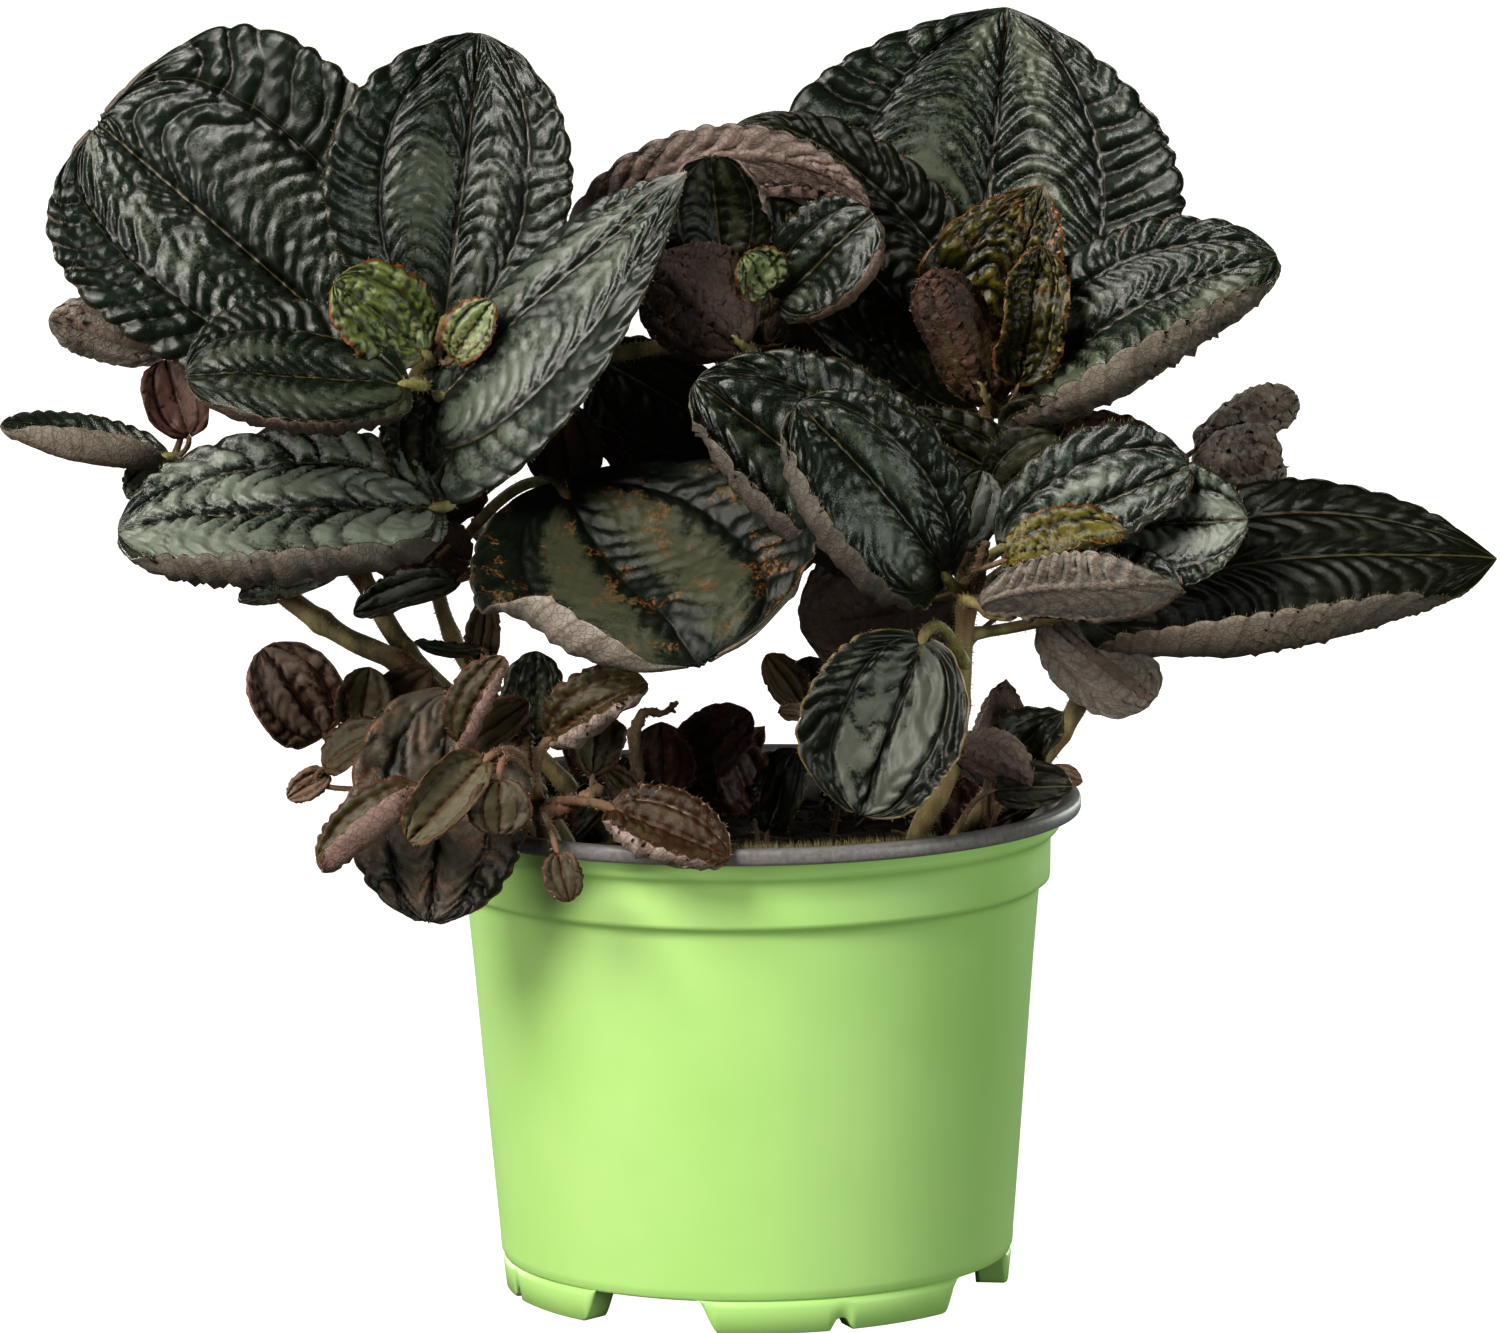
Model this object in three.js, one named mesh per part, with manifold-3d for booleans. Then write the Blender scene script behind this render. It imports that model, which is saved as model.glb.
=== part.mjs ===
// A friendship plant (a quilted, silver-striped Pilea) growing in a tapered nursery pot.
// Units are millimetres, +Z is up, -Y is the front. The origin is on the pot's axis, at the floor.

import * as THREE from 'three';
import { mergeVertices } from 'three/addons/utils/BufferGeometryUtils.js';
import Module from 'manifold-3d';

// ---------------------------------------------------------------- driving dimensions

const POT_HEIGHT = 90;
const LIP_RADIUS = 60; // a 120 mm pot
const LIP_HEIGHT = 3;
const COLLAR_RADIUS = 56.2; // first band, just under the lip
const BAND_RADIUS = 54.4; // second band
const BAND_BOTTOM = 75;
const SHOULDER_RADIUS = 52.3; // top of the tapered body
const SHOULDER_HEIGHT = 73;
const HEEL_RADIUS = 47; // bottom of the tapered body
const HEEL_HEIGHT = 9;
const FOOT_HEIGHT = 6;
const FOOT_WIDTH = 6.5; // radial width of each foot
const FOOT_COUNT = 4;
const FOOT_TURN = 19; // degrees from the front (-Y) towards +X, to the middle of the first foot
const FOOT_GAP = 24; // degrees between two feet
const ARCH_RADIUS = 1.8; // small arch in the middle of each foot
const DRAIN_RADIUS = 3.5;
const DRAIN_CIRCLE = 35;
const WALL = 0.9;
const SOIL_HEIGHT = 82;

const GAP = 0.35; // left between pieces that touch
const BLADE_THICKNESS = 0.8;
const TURN_STEPS = 48; // facets round the pot

// ---------------------------------------------------------------- materials

const finish = (color, roughness) => new THREE.MeshStandardMaterial({ color, roughness, metalness: 0 });
const materials = {
  pot: finish('#9fdc64', 0.42),
  soil: finish('#1d1712', 0.98),
  stem: finish('#6f6a3c', 0.75),
  silver: finish('#4b5a50', 0.38), // grown leaves, silver between dark veins
  dark: finish('#26352a', 0.42), // grown leaves, mostly deep green
  young: finish('#6a7a2c', 0.4), // yellow-green leaves at the growing tips
  bronze: finish('#5b4034', 0.5), // brown-red leaves
  underside: finish('#7b6c62', 0.7), // leaves that show their tan-grey backs
};

// ---------------------------------------------------------------- solids

const wasm = await Module();
wasm.setup();

function toSolid(geometry) {
  const bare = geometry.index === null ? geometry : geometry.clone();
  bare.deleteAttribute('normal');
  bare.deleteAttribute('uv');
  const merged = mergeVertices(bare, 1e-4);
  const vertProperties = new Float32Array(merged.attributes.position.array);
  const triVerts = new Uint32Array(merged.index.array);
  return new wasm.Manifold(new wasm.Mesh({ numProp: 3, vertProperties, triVerts }));
}

function toGeometry(solid) {
  const mesh = solid.getMesh();
  const geometry = new THREE.BufferGeometry();
  geometry.setAttribute('position', new THREE.BufferAttribute(mesh.vertProperties, mesh.numProp));
  geometry.setIndex(new THREE.BufferAttribute(mesh.triVerts, 1));
  return geometry;
}

// What a cut leaves behind of a piece that grew as one: its largest part.
function largestPart(solid) {
  const parts = solid.decompose();
  return parts.reduce((best, part) => (part.volume() > best.volume() ? part : best), parts[0]);
}

function boxesMeet(one, other) {
  const a = one.boundingBox();
  const b = other.boundingBox();
  return [0, 1, 2].every((axis) => a.min[axis] <= b.max[axis] && b.min[axis] <= a.max[axis]);
}

// Takes the grown shapes of its neighbours away from a solid, so that a gap is left all round.
function clearOf(solid, grownNeighbours) {
  const near = grownNeighbours.filter((grown) => boxesMeet(solid, grown));
  return largestPart(near.reduce((rest, grown) => rest.subtract(grown), solid));
}

function turned(profile, steps) {
  const points = profile.map(([radius, height]) => new THREE.Vector2(radius, height));
  return toSolid(new THREE.LatheGeometry(points, steps).rotateX(Math.PI / 2));
}

// A tube through the points of a route, grown all over by the last value.
function tube(points, ungrownRadius, sides, steps, growth) {
  const radius = ungrownRadius + growth;
  const route = new THREE.CatmullRomCurve3([
    points[0].clone().addScaledVector(points[1].clone().sub(points[0]).normalize(), -growth),
    ...points.slice(1, -1),
    points.at(-1).clone().addScaledVector(points.at(-2).clone().sub(points.at(-1)).normalize(), -growth),
  ]);
  const section = new THREE.Shape();
  for (let side = 0; side < sides; side += 1) {
    const angle = (2 * Math.PI * side) / sides;
    const point = [radius * Math.cos(angle), radius * Math.sin(angle)];
    if (side === 0) section.moveTo(...point);
    else section.lineTo(...point);
  }
  section.closePath();
  return toSolid(new THREE.ExtrudeGeometry(section, { steps, bevelEnabled: false, extrudePath: route }));
}

// ---------------------------------------------------------------- pot and soil

const round = (degrees) => THREE.MathUtils.degToRad(degrees);

// Places a solid made at the front (-Y) of the pot at an angle measured towards +X.
const aroundPot = (solid, degrees) => solid.rotate([0, 0, degrees]);

function potShell() {
  const inside = (radius) => radius - WALL;
  const lipBottom = POT_HEIGHT - LIP_HEIGHT;
  return turned([
    [0, FOOT_HEIGHT],
    [HEEL_RADIUS - 0.6, FOOT_HEIGHT], // seam groove above the feet
    [HEEL_RADIUS - 0.1, FOOT_HEIGHT + 1],
    [HEEL_RADIUS, HEEL_HEIGHT],
    [SHOULDER_RADIUS, SHOULDER_HEIGHT],
    [BAND_RADIUS - 0.2, BAND_BOTTOM],
    [BAND_RADIUS, BAND_BOTTOM + 7],
    [COLLAR_RADIUS, BAND_BOTTOM + 9.5],
    [COLLAR_RADIUS, lipBottom],
    [LIP_RADIUS - 0.6, lipBottom],
    [LIP_RADIUS, lipBottom + 0.8],
    [LIP_RADIUS, POT_HEIGHT - 0.8],
    [LIP_RADIUS - 0.8, POT_HEIGHT],
    [COLLAR_RADIUS + 0.6, POT_HEIGHT],
    [inside(COLLAR_RADIUS), lipBottom],
    [inside(COLLAR_RADIUS), BAND_BOTTOM + 9.8],
    [inside(BAND_RADIUS), BAND_BOTTOM + 7],
    [inside(BAND_RADIUS) - 0.2, BAND_BOTTOM + 0.6],
    [inside(SHOULDER_RADIUS), SHOULDER_HEIGHT - 0.3],
    [inside(HEEL_RADIUS), HEEL_HEIGHT],
    [inside(HEEL_RADIUS) - 1, FOOT_HEIGHT + WALL],
    [0, FOOT_HEIGHT + WALL],
  ], TURN_STEPS);
}

// A ring under the pot's heel, cut into feet whose ends slope.
function potFeet() {
  const outer = HEEL_RADIUS - 0.4;
  const inner = HEEL_RADIUS - FOOT_WIDTH;
  const overlap = 0.3; // into the base of the shell
  const ring = turned([
    [inner, 0],
    [outer - 0.6, 0],
    [outer, FOOT_HEIGHT * 0.75],
    [outer - 0.6, FOOT_HEIGHT + overlap],
    [inner, FOOT_HEIGHT + overlap],
    [inner, 0],
  ], TURN_STEPS);
  const halfGap = HEEL_RADIUS * Math.tan(round(FOOT_GAP / 2));
  const slope = 1.5;
  const gapOutline = new THREE.Shape()
    .moveTo(-halfGap - slope, -1)
    .lineTo(halfGap + slope, -1)
    .lineTo(halfGap - slope, FOOT_HEIGHT)
    .lineTo(-halfGap + slope, FOOT_HEIGHT);
  const gap = toSolid(new THREE.ExtrudeGeometry(gapOutline, { depth: HEEL_RADIUS, bevelEnabled: false })
    .rotateX(Math.PI / 2));
  const arch = toSolid(new THREE.CylinderGeometry(ARCH_RADIUS, ARCH_RADIUS, FOOT_WIDTH * 2, 10)
    .translate(0, -(inner + outer) / 2, 0));
  let feet = ring;
  for (let foot = 0; foot < FOOT_COUNT; foot += 1) {
    const middle = FOOT_TURN + (foot * 360) / FOOT_COUNT;
    feet = feet.subtract(aroundPot(arch, middle));
    feet = feet.subtract(aroundPot(gap, middle + 180 / FOOT_COUNT));
  }
  return feet;
}

function pot() {
  const drain = toSolid(new THREE.CylinderGeometry(DRAIN_RADIUS, DRAIN_RADIUS, FOOT_HEIGHT * 3, 14)
    .rotateX(Math.PI / 2)
    .translate(0, -DRAIN_CIRCLE, 0));
  let solid = potShell().add(potFeet());
  for (let foot = 0; foot < FOOT_COUNT; foot += 1) {
    solid = solid.subtract(aroundPot(drain, FOOT_TURN + ((foot + 0.5) * 360) / FOOT_COUNT));
  }
  return solid;
}

// The root ball fills the pot to a little below its lip. Stems stand in holes in it.
function soil(grownStems) {
  const clearance = WALL + GAP;
  const ball = turned([
    [0, FOOT_HEIGHT + clearance],
    [HEEL_RADIUS - clearance - 1.2, FOOT_HEIGHT + clearance],
    [HEEL_RADIUS - clearance, HEEL_HEIGHT + GAP],
    [SHOULDER_RADIUS - clearance, SHOULDER_HEIGHT],
    [BAND_RADIUS - clearance - 0.3, BAND_BOTTOM + 1],
    [BAND_RADIUS - clearance - 0.2, SOIL_HEIGHT - 1],
    [BAND_RADIUS - clearance - 4, SOIL_HEIGHT],
    [BAND_RADIUS / 2, SOIL_HEIGHT - 0.6],
    [0, SOIL_HEIGHT],
  ], 28);
  return clearOf(ball, grownStems);
}

// ---------------------------------------------------------------- stems

const STEM_ROUTES = {
  left_arching_stem: {
    radius: 2,
    route: [[-34, -27, 76], [-37, -26, 87], [-49, -22, 104], [-61, -16, 116], [-74, -10, 122],
      [-87, -4, 131], [-98, 0, 144], [-104, 2, 152]],
  },
  left_upright_stem: {
    radius: 2,
    route: [[-32, -14, 76], [-35, -14, 86], [-48, -11, 104], [-61, -8, 117], [-68, -6, 128],
      [-72, -4, 138], [-68, -4, 150], [-62, -5, 163], [-57, -7, 172]],
  },
  back_centre_stem: {
    radius: 1.6,
    route: [[-24, 1, 76], [-28, 1, 85], [-46, 4, 106], [-55, 5, 121], [-56, 6, 134], [-46, 8, 152],
      [-30, 9, 167], [-18, 9, 171], [-6, 7, 171], [-1, 5, 175]],
  },
  right_upright_stem: {
    radius: 2,
    route: [[27, -29, 76], [30, -30, 88], [36, -30, 101], [38, -28, 120], [39, -26, 131],
      [40, -14, 142], [41, -2, 153], [45, 4, 162]],
  },
  right_arching_stem: {
    radius: 2,
    route: [[33, -19, 76], [40, -20, 89], [53, -18, 100], [61, -14, 112], [67, -6, 126],
      [74, 2, 139], [79, 8, 150]],
  },
  tuft_stem: {
    radius: 1.8,
    route: [[-36, -33, 76], [-37, -37, 89], [-38, -42, 97], [-40, -44, 106]],
  },
};

const STEM_SIDES = 7;

function stem({ radius, route }, growth) {
  const points = route.map((point) => new THREE.Vector3(...point));
  return tube(points, radius, STEM_SIDES, route.length + 3, growth);
}

// ---------------------------------------------------------------- leaves

// A leaf is one blade and its petiole. `from` is where the petiole leaves its stem, `root` and `tip`
// are the ends of the midrib, and `face` points away from the blade's upper side. `halves` are the
// widths left and right of the midrib, seen from the face with the root at the bottom.
// Angles are in degrees: `arch` bends the midrib lengthwise, `fold` and `cup` raise each half towards
// the face at the midrib and across its width, and `rim` rolls its outer part further, from
// `rimStart` of the way across and, lengthwise, from `rimFrom` of the way along.
// `lobe` draws the base of a half back past the root, and `base` and `point` shape the outline:
// small values are blunt, large ones taper.
const LEAF_DEFAULTS = {
  arch: 20, fold: [8, 8], cup: [20, 20], rim: [0, 0], rimStart: 0.72, rimFrom: -1,
  lobe: [0.06, 0.06], base: 0.5, point: 0.6,
};

const LEAVES = {
  // left crown
  left_crown_broad_leaf: {
    look: 'silver', from: [-58, -7, 171], root: [-72, 2, 174], tip: [-117, 12, 213], face: [0, -10, 2],
    halves: [27, 36], arch: 15, cup: [20, 15], point: 0.45,
  },
  left_crown_upright_leaf: {
    look: 'dark', from: [-56, -7, 173], root: [-54, -5, 179], tip: [-47, 5, 229], face: [0, -10, 1],
    halves: [25, 20], arch: 25, cup: [15, 15], base: 0.6, point: 0.8,
  },
  left_crown_pointed_leaf: {
    look: 'silver', from: [-56, -7, 170], root: [-54, -15, 166], tip: [-10, -22, 206], face: [-4, -8, 4],
    halves: [15, 25], arch: 15, cup: [-80, 0], lobe: [0.05, 0.3], base: 0.4, point: 1,
  },
  left_crown_front_leaf: {
    look: 'dark', from: [-60, -6, 167], root: [-62, -25, 169], tip: [-99, -34, 172], face: [0, -6, 8],
    halves: [23, 14], arch: 10, cup: [15, 10], rim: [40, 0], point: 0.5,
  },
  left_crown_low_leaf: {
    look: 'silver', from: [-66, -4, 153], root: [-57, -27, 147], tip: [-112, -31, 144], face: [0, -6, 8],
    halves: [32, 17], cup: [20, 10], rim: [110, 0], rimStart: 0.6,
  },
  left_crown_young_leaf: {
    look: 'young', from: [-58, -7, 171], root: [-60, -17, 176], tip: [-74, -21, 187], face: [0, -10, 5],
    halves: [8, 8], cup: [10, 10], point: 0.5,
  },
  left_crown_back_leaf: {
    look: 'dark', from: [-58, -5, 172], root: [-62, 8, 172], tip: [-88, 58, 180], face: [0, -3, 9],
    halves: [20, 20],
  },
  // shoot at the far left
  left_shoot_back_leaf: {
    look: 'underside', from: [-104, 2, 153], root: [-106, 8, 172], tip: [-126, 2, 179], face: [0, 10, 3],
    halves: [6, 6], arch: 10, cup: [10, 10],
  },
  left_shoot_silver_leaf: {
    look: 'silver', from: [-104, 2, 151], root: [-106, -6, 154], tip: [-134, -12, 161], face: [0, -4, 9],
    halves: [9, 9], arch: -50, cup: [60, 30],
  },
  left_shoot_dark_leaf: {
    look: 'bronze', from: [-104, 1, 153], root: [-101, -3, 158], tip: [-105, 1, 171], face: [0, -10, 2],
    halves: [7, 7], arch: 10, cup: [50, 50], point: 0.5,
  },
  left_stem_leaf: {
    look: 'underside', from: [-87, -4, 131], root: [-85, -9, 132], tip: [-73, -14, 135], face: [0, -7, 5],
    halves: [6, 6], arch: 30,
  },
  left_back_leaf: {
    look: 'dark', from: [-71, -4, 141], root: [-78, 4, 140], tip: [-98, 54, 142], face: [0, -5, 9],
    halves: [17, 17],
  },
  // side shoot behind the left crown
  side_shoot_round_leaf: {
    look: 'bronze', from: [-56, 6, 137], root: [-57, -7, 135], tip: [-65, -9, 130], face: [0, -10, 4],
    halves: [5.5, 5.5], point: 0.5,
  },
  side_shoot_hairy_leaf: {
    look: 'dark', from: [-56, 6, 128], root: [-53, -16, 132], tip: [-71, -19, 127], face: [0, -5, 8],
    halves: [7, 6], arch: -20, cup: [60, 20],
  },
  // back crown
  back_crown_arched_leaf: {
    look: 'underside', from: [-1, 5, 175], root: [-21, 10, 191], tip: [25, 2, 196], face: [0, 8, 6],
    halves: [9, 15], arch: 60, cup: [10, 10], lobe: [0.2, 0.2],
  },
  back_crown_cupped_leaf: {
    look: 'dark', from: [-1, 4, 176], root: [-4, -2, 187], tip: [-8, -1, 204], face: [0, -10, 2],
    halves: [11, 11], arch: -20, cup: [30, 30],
  },
  back_crown_bronze_leaf: {
    look: 'underside', from: [0, 4, 175], root: [6, -3, 182], tip: [28, -10, 194], face: [0, -10, 5],
    halves: [11, 13], arch: 10, cup: [10, 20], rim: [0, 70],
  },
  back_crown_curled_leaf: {
    look: 'bronze', from: [-1, 4, 173], root: [-1, -12, 174], tip: [-16, -12, 189], face: [0, 10, 0],
    halves: [14, 14], arch: -50, cup: [60, 60], point: 0.5,
  },
  back_crown_hanging_leaf: {
    look: 'dark', from: [-29, 9, 168], root: [-26, 16, 168], tip: [-1, 18, 153], face: [0, -10, 4],
    halves: [10, 15],
  },
  back_crown_brown_leaf: {
    look: 'underside', from: [0, 5, 174], root: [5, 12, 171], tip: [24, 8, 180], face: [0, 10, -2],
    halves: [8, 8],
  },
  back_crown_silver_leaf: {
    look: 'silver', from: [0, 6, 174], root: [8, 30, 172], tip: [26, 36, 158], face: [0, -10, 3],
    halves: [10, 10],
  },
  back_crown_back_leaf: {
    look: 'dark', from: [-1, 6, 174], root: [-6, 20, 178], tip: [-18, 65, 184], face: [0, -3, 9],
    halves: [19, 19],
  },
  // right crown, the highest one
  right_crown_broad_leaf: {
    look: 'silver', from: [45, 4, 161], root: [42, 22, 171], tip: [49, 42, 230], face: [0, -10, 3],
    halves: [43, 36], arch: 15, cup: [15, 15], point: 0.8,
  },
  right_crown_left_leaf: {
    look: 'dark', from: [44, 4, 161], root: [41, 6, 167], tip: [-1, 20, 211], face: [0, -8, 6],
    halves: [16, 19], cup: [20, 20], rim: [80, 0],
  },
  right_crown_front_leaf: {
    look: 'silver', from: [46, 3, 161], root: [50, -4, 164], tip: [95, -16, 189], face: [0, -7, 7],
    halves: [15, 30], arch: 50, cup: [10, 10], rim: [0, 90],
  },
  right_crown_young_leaf: {
    look: 'young', from: [45, 3, 163], root: [45, -3, 172], tip: [56, -2, 201], face: [-2, -10, 2],
    halves: [18, 10], arch: 10, cup: [15, 30],
  },
  right_crown_bud_leaf: {
    look: 'young', from: [46, 2, 163], root: [50, -12, 170], tip: [53, -13, 191], face: [2, -10, 0],
    halves: [6.5, 6.5], arch: 10, cup: [50, 50],
  },
  right_crown_curled_leaf: {
    look: 'bronze', from: [45, 2, 161], root: [43, -13, 163], tip: [34, -15, 187], face: [0, 10, 0],
    halves: [11, 10], arch: -20, cup: [50, 60],
  },
  right_crown_back_leaf: {
    look: 'dark', from: [46, 4, 160], root: [54, 18, 161], tip: [80, 60, 172], face: [0, -5, 9],
    halves: [18, 18],
  },
  right_shoot_upper_leaf: {
    look: 'underside', from: [79, 8, 149], root: [83, 14, 152], tip: [98, 10, 160], face: [0, 10, 2],
    halves: [6, 6], arch: 40,
  },
  right_shoot_lower_leaf: {
    look: 'underside', from: [78, 7, 147], root: [82, 6, 147], tip: [97, 2, 150], face: [0, 10, 0],
    halves: [7, 7],
  },
  right_shoot_back_leaf: {
    look: 'dark', from: [75, 3, 141], root: [78, 12, 141], tip: [98, 58, 142], face: [0, -3, 9],
    halves: [16, 16],
  },
  // front crown, on the same stem
  front_crown_wide_leaf: {
    look: 'silver', from: [39, -26, 131], root: [33, -24, 134], tip: [-9, -26, 169], face: [0, -9, 4],
    halves: [16, 20], cup: [15, 15], rim: [90, 0],
  },
  front_crown_pointed_leaf: {
    look: 'dark', from: [39, -27, 132], root: [34, -39, 136], tip: [9, -46, 167], face: [3, -10, 3],
    halves: [20, 13], arch: 40, cup: [15, 10], rim: [100, 0], point: 0.55,
  },
  front_crown_right_leaf: {
    look: 'silver', from: [40, -26, 132], root: [46, -35, 140], tip: [78, -40, 154], face: [0, -9, 5],
    halves: [13, 13], arch: 15, cup: [15, 20], rim: [0, 60],
  },
  front_crown_cupped_leaf: {
    look: 'underside', from: [40, -28, 129], root: [42, -43, 130], tip: [76, -50, 134], face: [0, -2, 10],
    halves: [12, 18], arch: -50, fold: [10, 40], cup: [30, 40], point: 0.5,
  },
  front_crown_small_leaf: {
    look: 'silver', from: [40, -25, 130], root: [62, -27, 140], tip: [86, -32, 143], face: [0, -9, 4],
    halves: [10, 12], arch: 10, cup: [15, 20], rim: [0, 70],
  },
  front_crown_back_leaf: {
    look: 'dark', from: [39, -24, 132], root: [30, -6, 140], tip: [10, 40, 150], face: [0, -5, 9],
    halves: [17, 17],
  },
  far_right_leaf: {
    look: 'dark', from: [39, -27, 123], root: [62, -20, 127], tip: [133, -31, 136], face: [0, -6, 8],
    halves: [17, 30], arch: 40, fold: [8, -15], cup: [5, 15], rim: [0, 100], rimStart: 0.62,
    base: 0.75, point: 0.8,
  },
  right_side_leaf: {
    look: 'underside', from: [39, -27, 121], root: [54, -16, 124], tip: [72, -24, 110], face: [0, 10, 3],
    halves: [8.5, 8.5], point: 0.5,
  },
  rim_leaf: {
    look: 'silver', from: [38, -29, 118], root: [30, -46, 124], tip: [19, -53, 95], face: [0, -10, 2],
    halves: [15, 16], arch: 15, cup: [15, 15], rim: [60, 0], point: 0.5,
  },
  centre_brown_leaf: {
    look: 'bronze', from: [39, -25, 128], root: [36, -14, 128], tip: [9, -14, 124], face: [0, 10, -2],
    halves: [14, 14], arch: 10, cup: [10, 10],
  },
  centre_leaf: {
    look: 'silver', from: [-56, 6, 131], root: [-32, -18, 147], tip: [-2, -58, 123], face: [0, -5, 8],
    halves: [30, 31], arch: -10, cup: [5, 5], rim: [80, 80], rimFrom: 0.3, lobe: [0.1, 0.1], point: 0.5,
  },
  // tuft of small leaves over the front left of the rim
  tuft_red_leaf: {
    look: 'bronze', from: [-39, -43, 103], root: [-77, -21, 106], tip: [-87, -27, 122], face: [0, -10, 3],
    halves: [9, 9], arch: 10, cup: [40, 40], point: 0.5,
  },
  tuft_large_leaf: {
    look: 'dark', from: [-40, -44, 105], root: [-53, -38, 114], tip: [-57, -54, 77], face: [0, -10, 1],
    halves: [16, 16], cup: [10, 10], point: 0.5,
  },
  tuft_pink_leaf: {
    look: 'bronze', from: [-38, -42, 98], root: [-59, -57, 101], tip: [-76, -60, 88], face: [0, -10, 5],
    halves: [6, 6],
  },
  tuft_green_leaf: {
    look: 'young', from: [-39, -43, 101], root: [-47, -59, 106], tip: [-60, -64, 93], face: [0, -10, 5],
    halves: [6.5, 6.5],
  },
  tuft_upright_leaf: {
    look: 'young', from: [-40, -44, 104], root: [-51, -52, 109], tip: [-43, -54, 124], face: [-5, -10, 2],
    halves: [5, 5],
  },
  tuft_olive_leaf: {
    look: 'young', from: [-38, -41, 96], root: [-35, -44, 110], tip: [-18, -50, 119], face: [0, -9, 6],
    halves: [7, 6], rim: [0, 80],
  },
  tuft_rim_leaf: {
    look: 'bronze', from: [-38, -41, 95], root: [-24, -56, 97], tip: [-4, -62, 89], face: [0, -8, 6],
    halves: [7, 9], cup: [10, 20], rim: [0, 60],
  },
  // low leaves that rise from the soil
  soil_maroon_leaf: {
    look: 'bronze', from: [-18, -21, 77], root: [-11, -20, 98], tip: [0, -24, 109], face: [0, -10, 3],
    halves: [6, 6], arch: 40,
  },
  soil_right_leaf: {
    look: 'dark', from: [36, -31, 77], root: [44, -34, 96], tip: [57, -38, 97], face: [0, -9, 5],
    halves: [4.5, 4.5],
  },
};

const GROWN_LEAF = 9; // a half wider than this has a thick petiole
const LARGE_LEAF = 18; // a half this wide gets a finer mesh
const SMALL_MESH = { lengthSteps: 4, across: [0, 0.6, 1] };
const LARGE_MESH = { lengthSteps: 6, across: [0, 0.4, 0.74, 1] };
const THICK_PETIOLE = 1.1;
const THIN_PETIOLE = 0.7;
const PETIOLE_SIDES = 5;
const PETIOLE_STEPS = 4;
const END_MARGIN = 0.02; // the blade's first and last sections, short of its bare ends

// The midrib's chord, the way its face looks, and the side that is right when seen from the face.
function bladeAxes({ root, tip, face }) {
  const start = new THREE.Vector3(...root);
  const along = new THREE.Vector3(...tip).sub(start);
  const length = along.length();
  along.normalize();
  const up = new THREE.Vector3(...face);
  up.addScaledVector(along, -up.dot(along)).normalize();
  const right = new THREE.Vector3().crossVectors(along, up);
  return { start, length, along, up, right };
}

// How wide the blade is at u, from 0 at the root to 1 at the tip; 1 at its widest place.
function outline({ base, point }, u) {
  const widest = base / (base + point);
  const shape = (t) => t ** base * (1 - t) ** point;
  return shape(u) / shape(widest);
}

// The section of one half, followed from the midrib outwards: how far out and how far up it gets.
function halfSection(leaf, side, u, v) {
  const pieces = 12;
  const rimGrowth = 0.2; // the length over which a rim comes up
  const breadth = outline(leaf, u);
  const reach = (leaf.halves[side] * breadth) / pieces;
  const rim = leaf.rim[side] * Math.min(1, 1.5 * breadth)
    * THREE.MathUtils.clamp((u - leaf.rimFrom) / rimGrowth, 0, 1);
  let out = 0;
  let up = 0;
  for (let piece = 0.5; piece < pieces * v; piece += 1) {
    const t = piece / pieces;
    const rolled = Math.max(0, (t - leaf.rimStart) / (1 - leaf.rimStart));
    const slope = round(leaf.fold[side] + leaf.cup[side] * t * breadth + rim * rolled);
    out += reach * Math.cos(slope);
    up += reach * Math.sin(slope);
  }
  return { out, up };
}

// A point of the blade's middle surface. v runs from -1 at the left edge to 1 at the right edge.
function bladePoint(leaf, axes, u, v) {
  const side = v < 0 ? 0 : 1;
  const away = Math.abs(v);
  const { out, up } = halfSection(leaf, side, u, away);
  const bend = round(leaf.arch);
  const bendRadius = axes.length / (2 * Math.sin(bend / 2));
  const drawnBack = leaf.lobe[side] * away ** 1.5 * (1 - u) ** 3;
  const turn = -bend / 2 + bend * (u - drawnBack);
  const forward = bendRadius * (Math.sin(turn) + Math.sin(bend / 2)) + up * Math.sin(turn);
  const lift = bendRadius * (Math.cos(turn) - Math.cos(bend / 2)) + up * Math.cos(turn);
  return axes.start.clone()
    .addScaledVector(axes.along, forward)
    .addScaledVector(axes.up, lift)
    .addScaledVector(axes.right, Math.sign(v) * out);
}

function bladeNormal(leaf, axes, u, v) {
  const step = 0.02;
  const lengthwise = bladePoint(leaf, axes, Math.min(u + step, 1 - step), v)
    .sub(bladePoint(leaf, axes, Math.max(u - step, step), v));
  const crosswise = bladePoint(leaf, axes, u, Math.min(v + step * 4, 1))
    .sub(bladePoint(leaf, axes, u, Math.max(v - step * 4, -1)));
  return new THREE.Vector3().crossVectors(lengthwise, crosswise).normalize();
}

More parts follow.
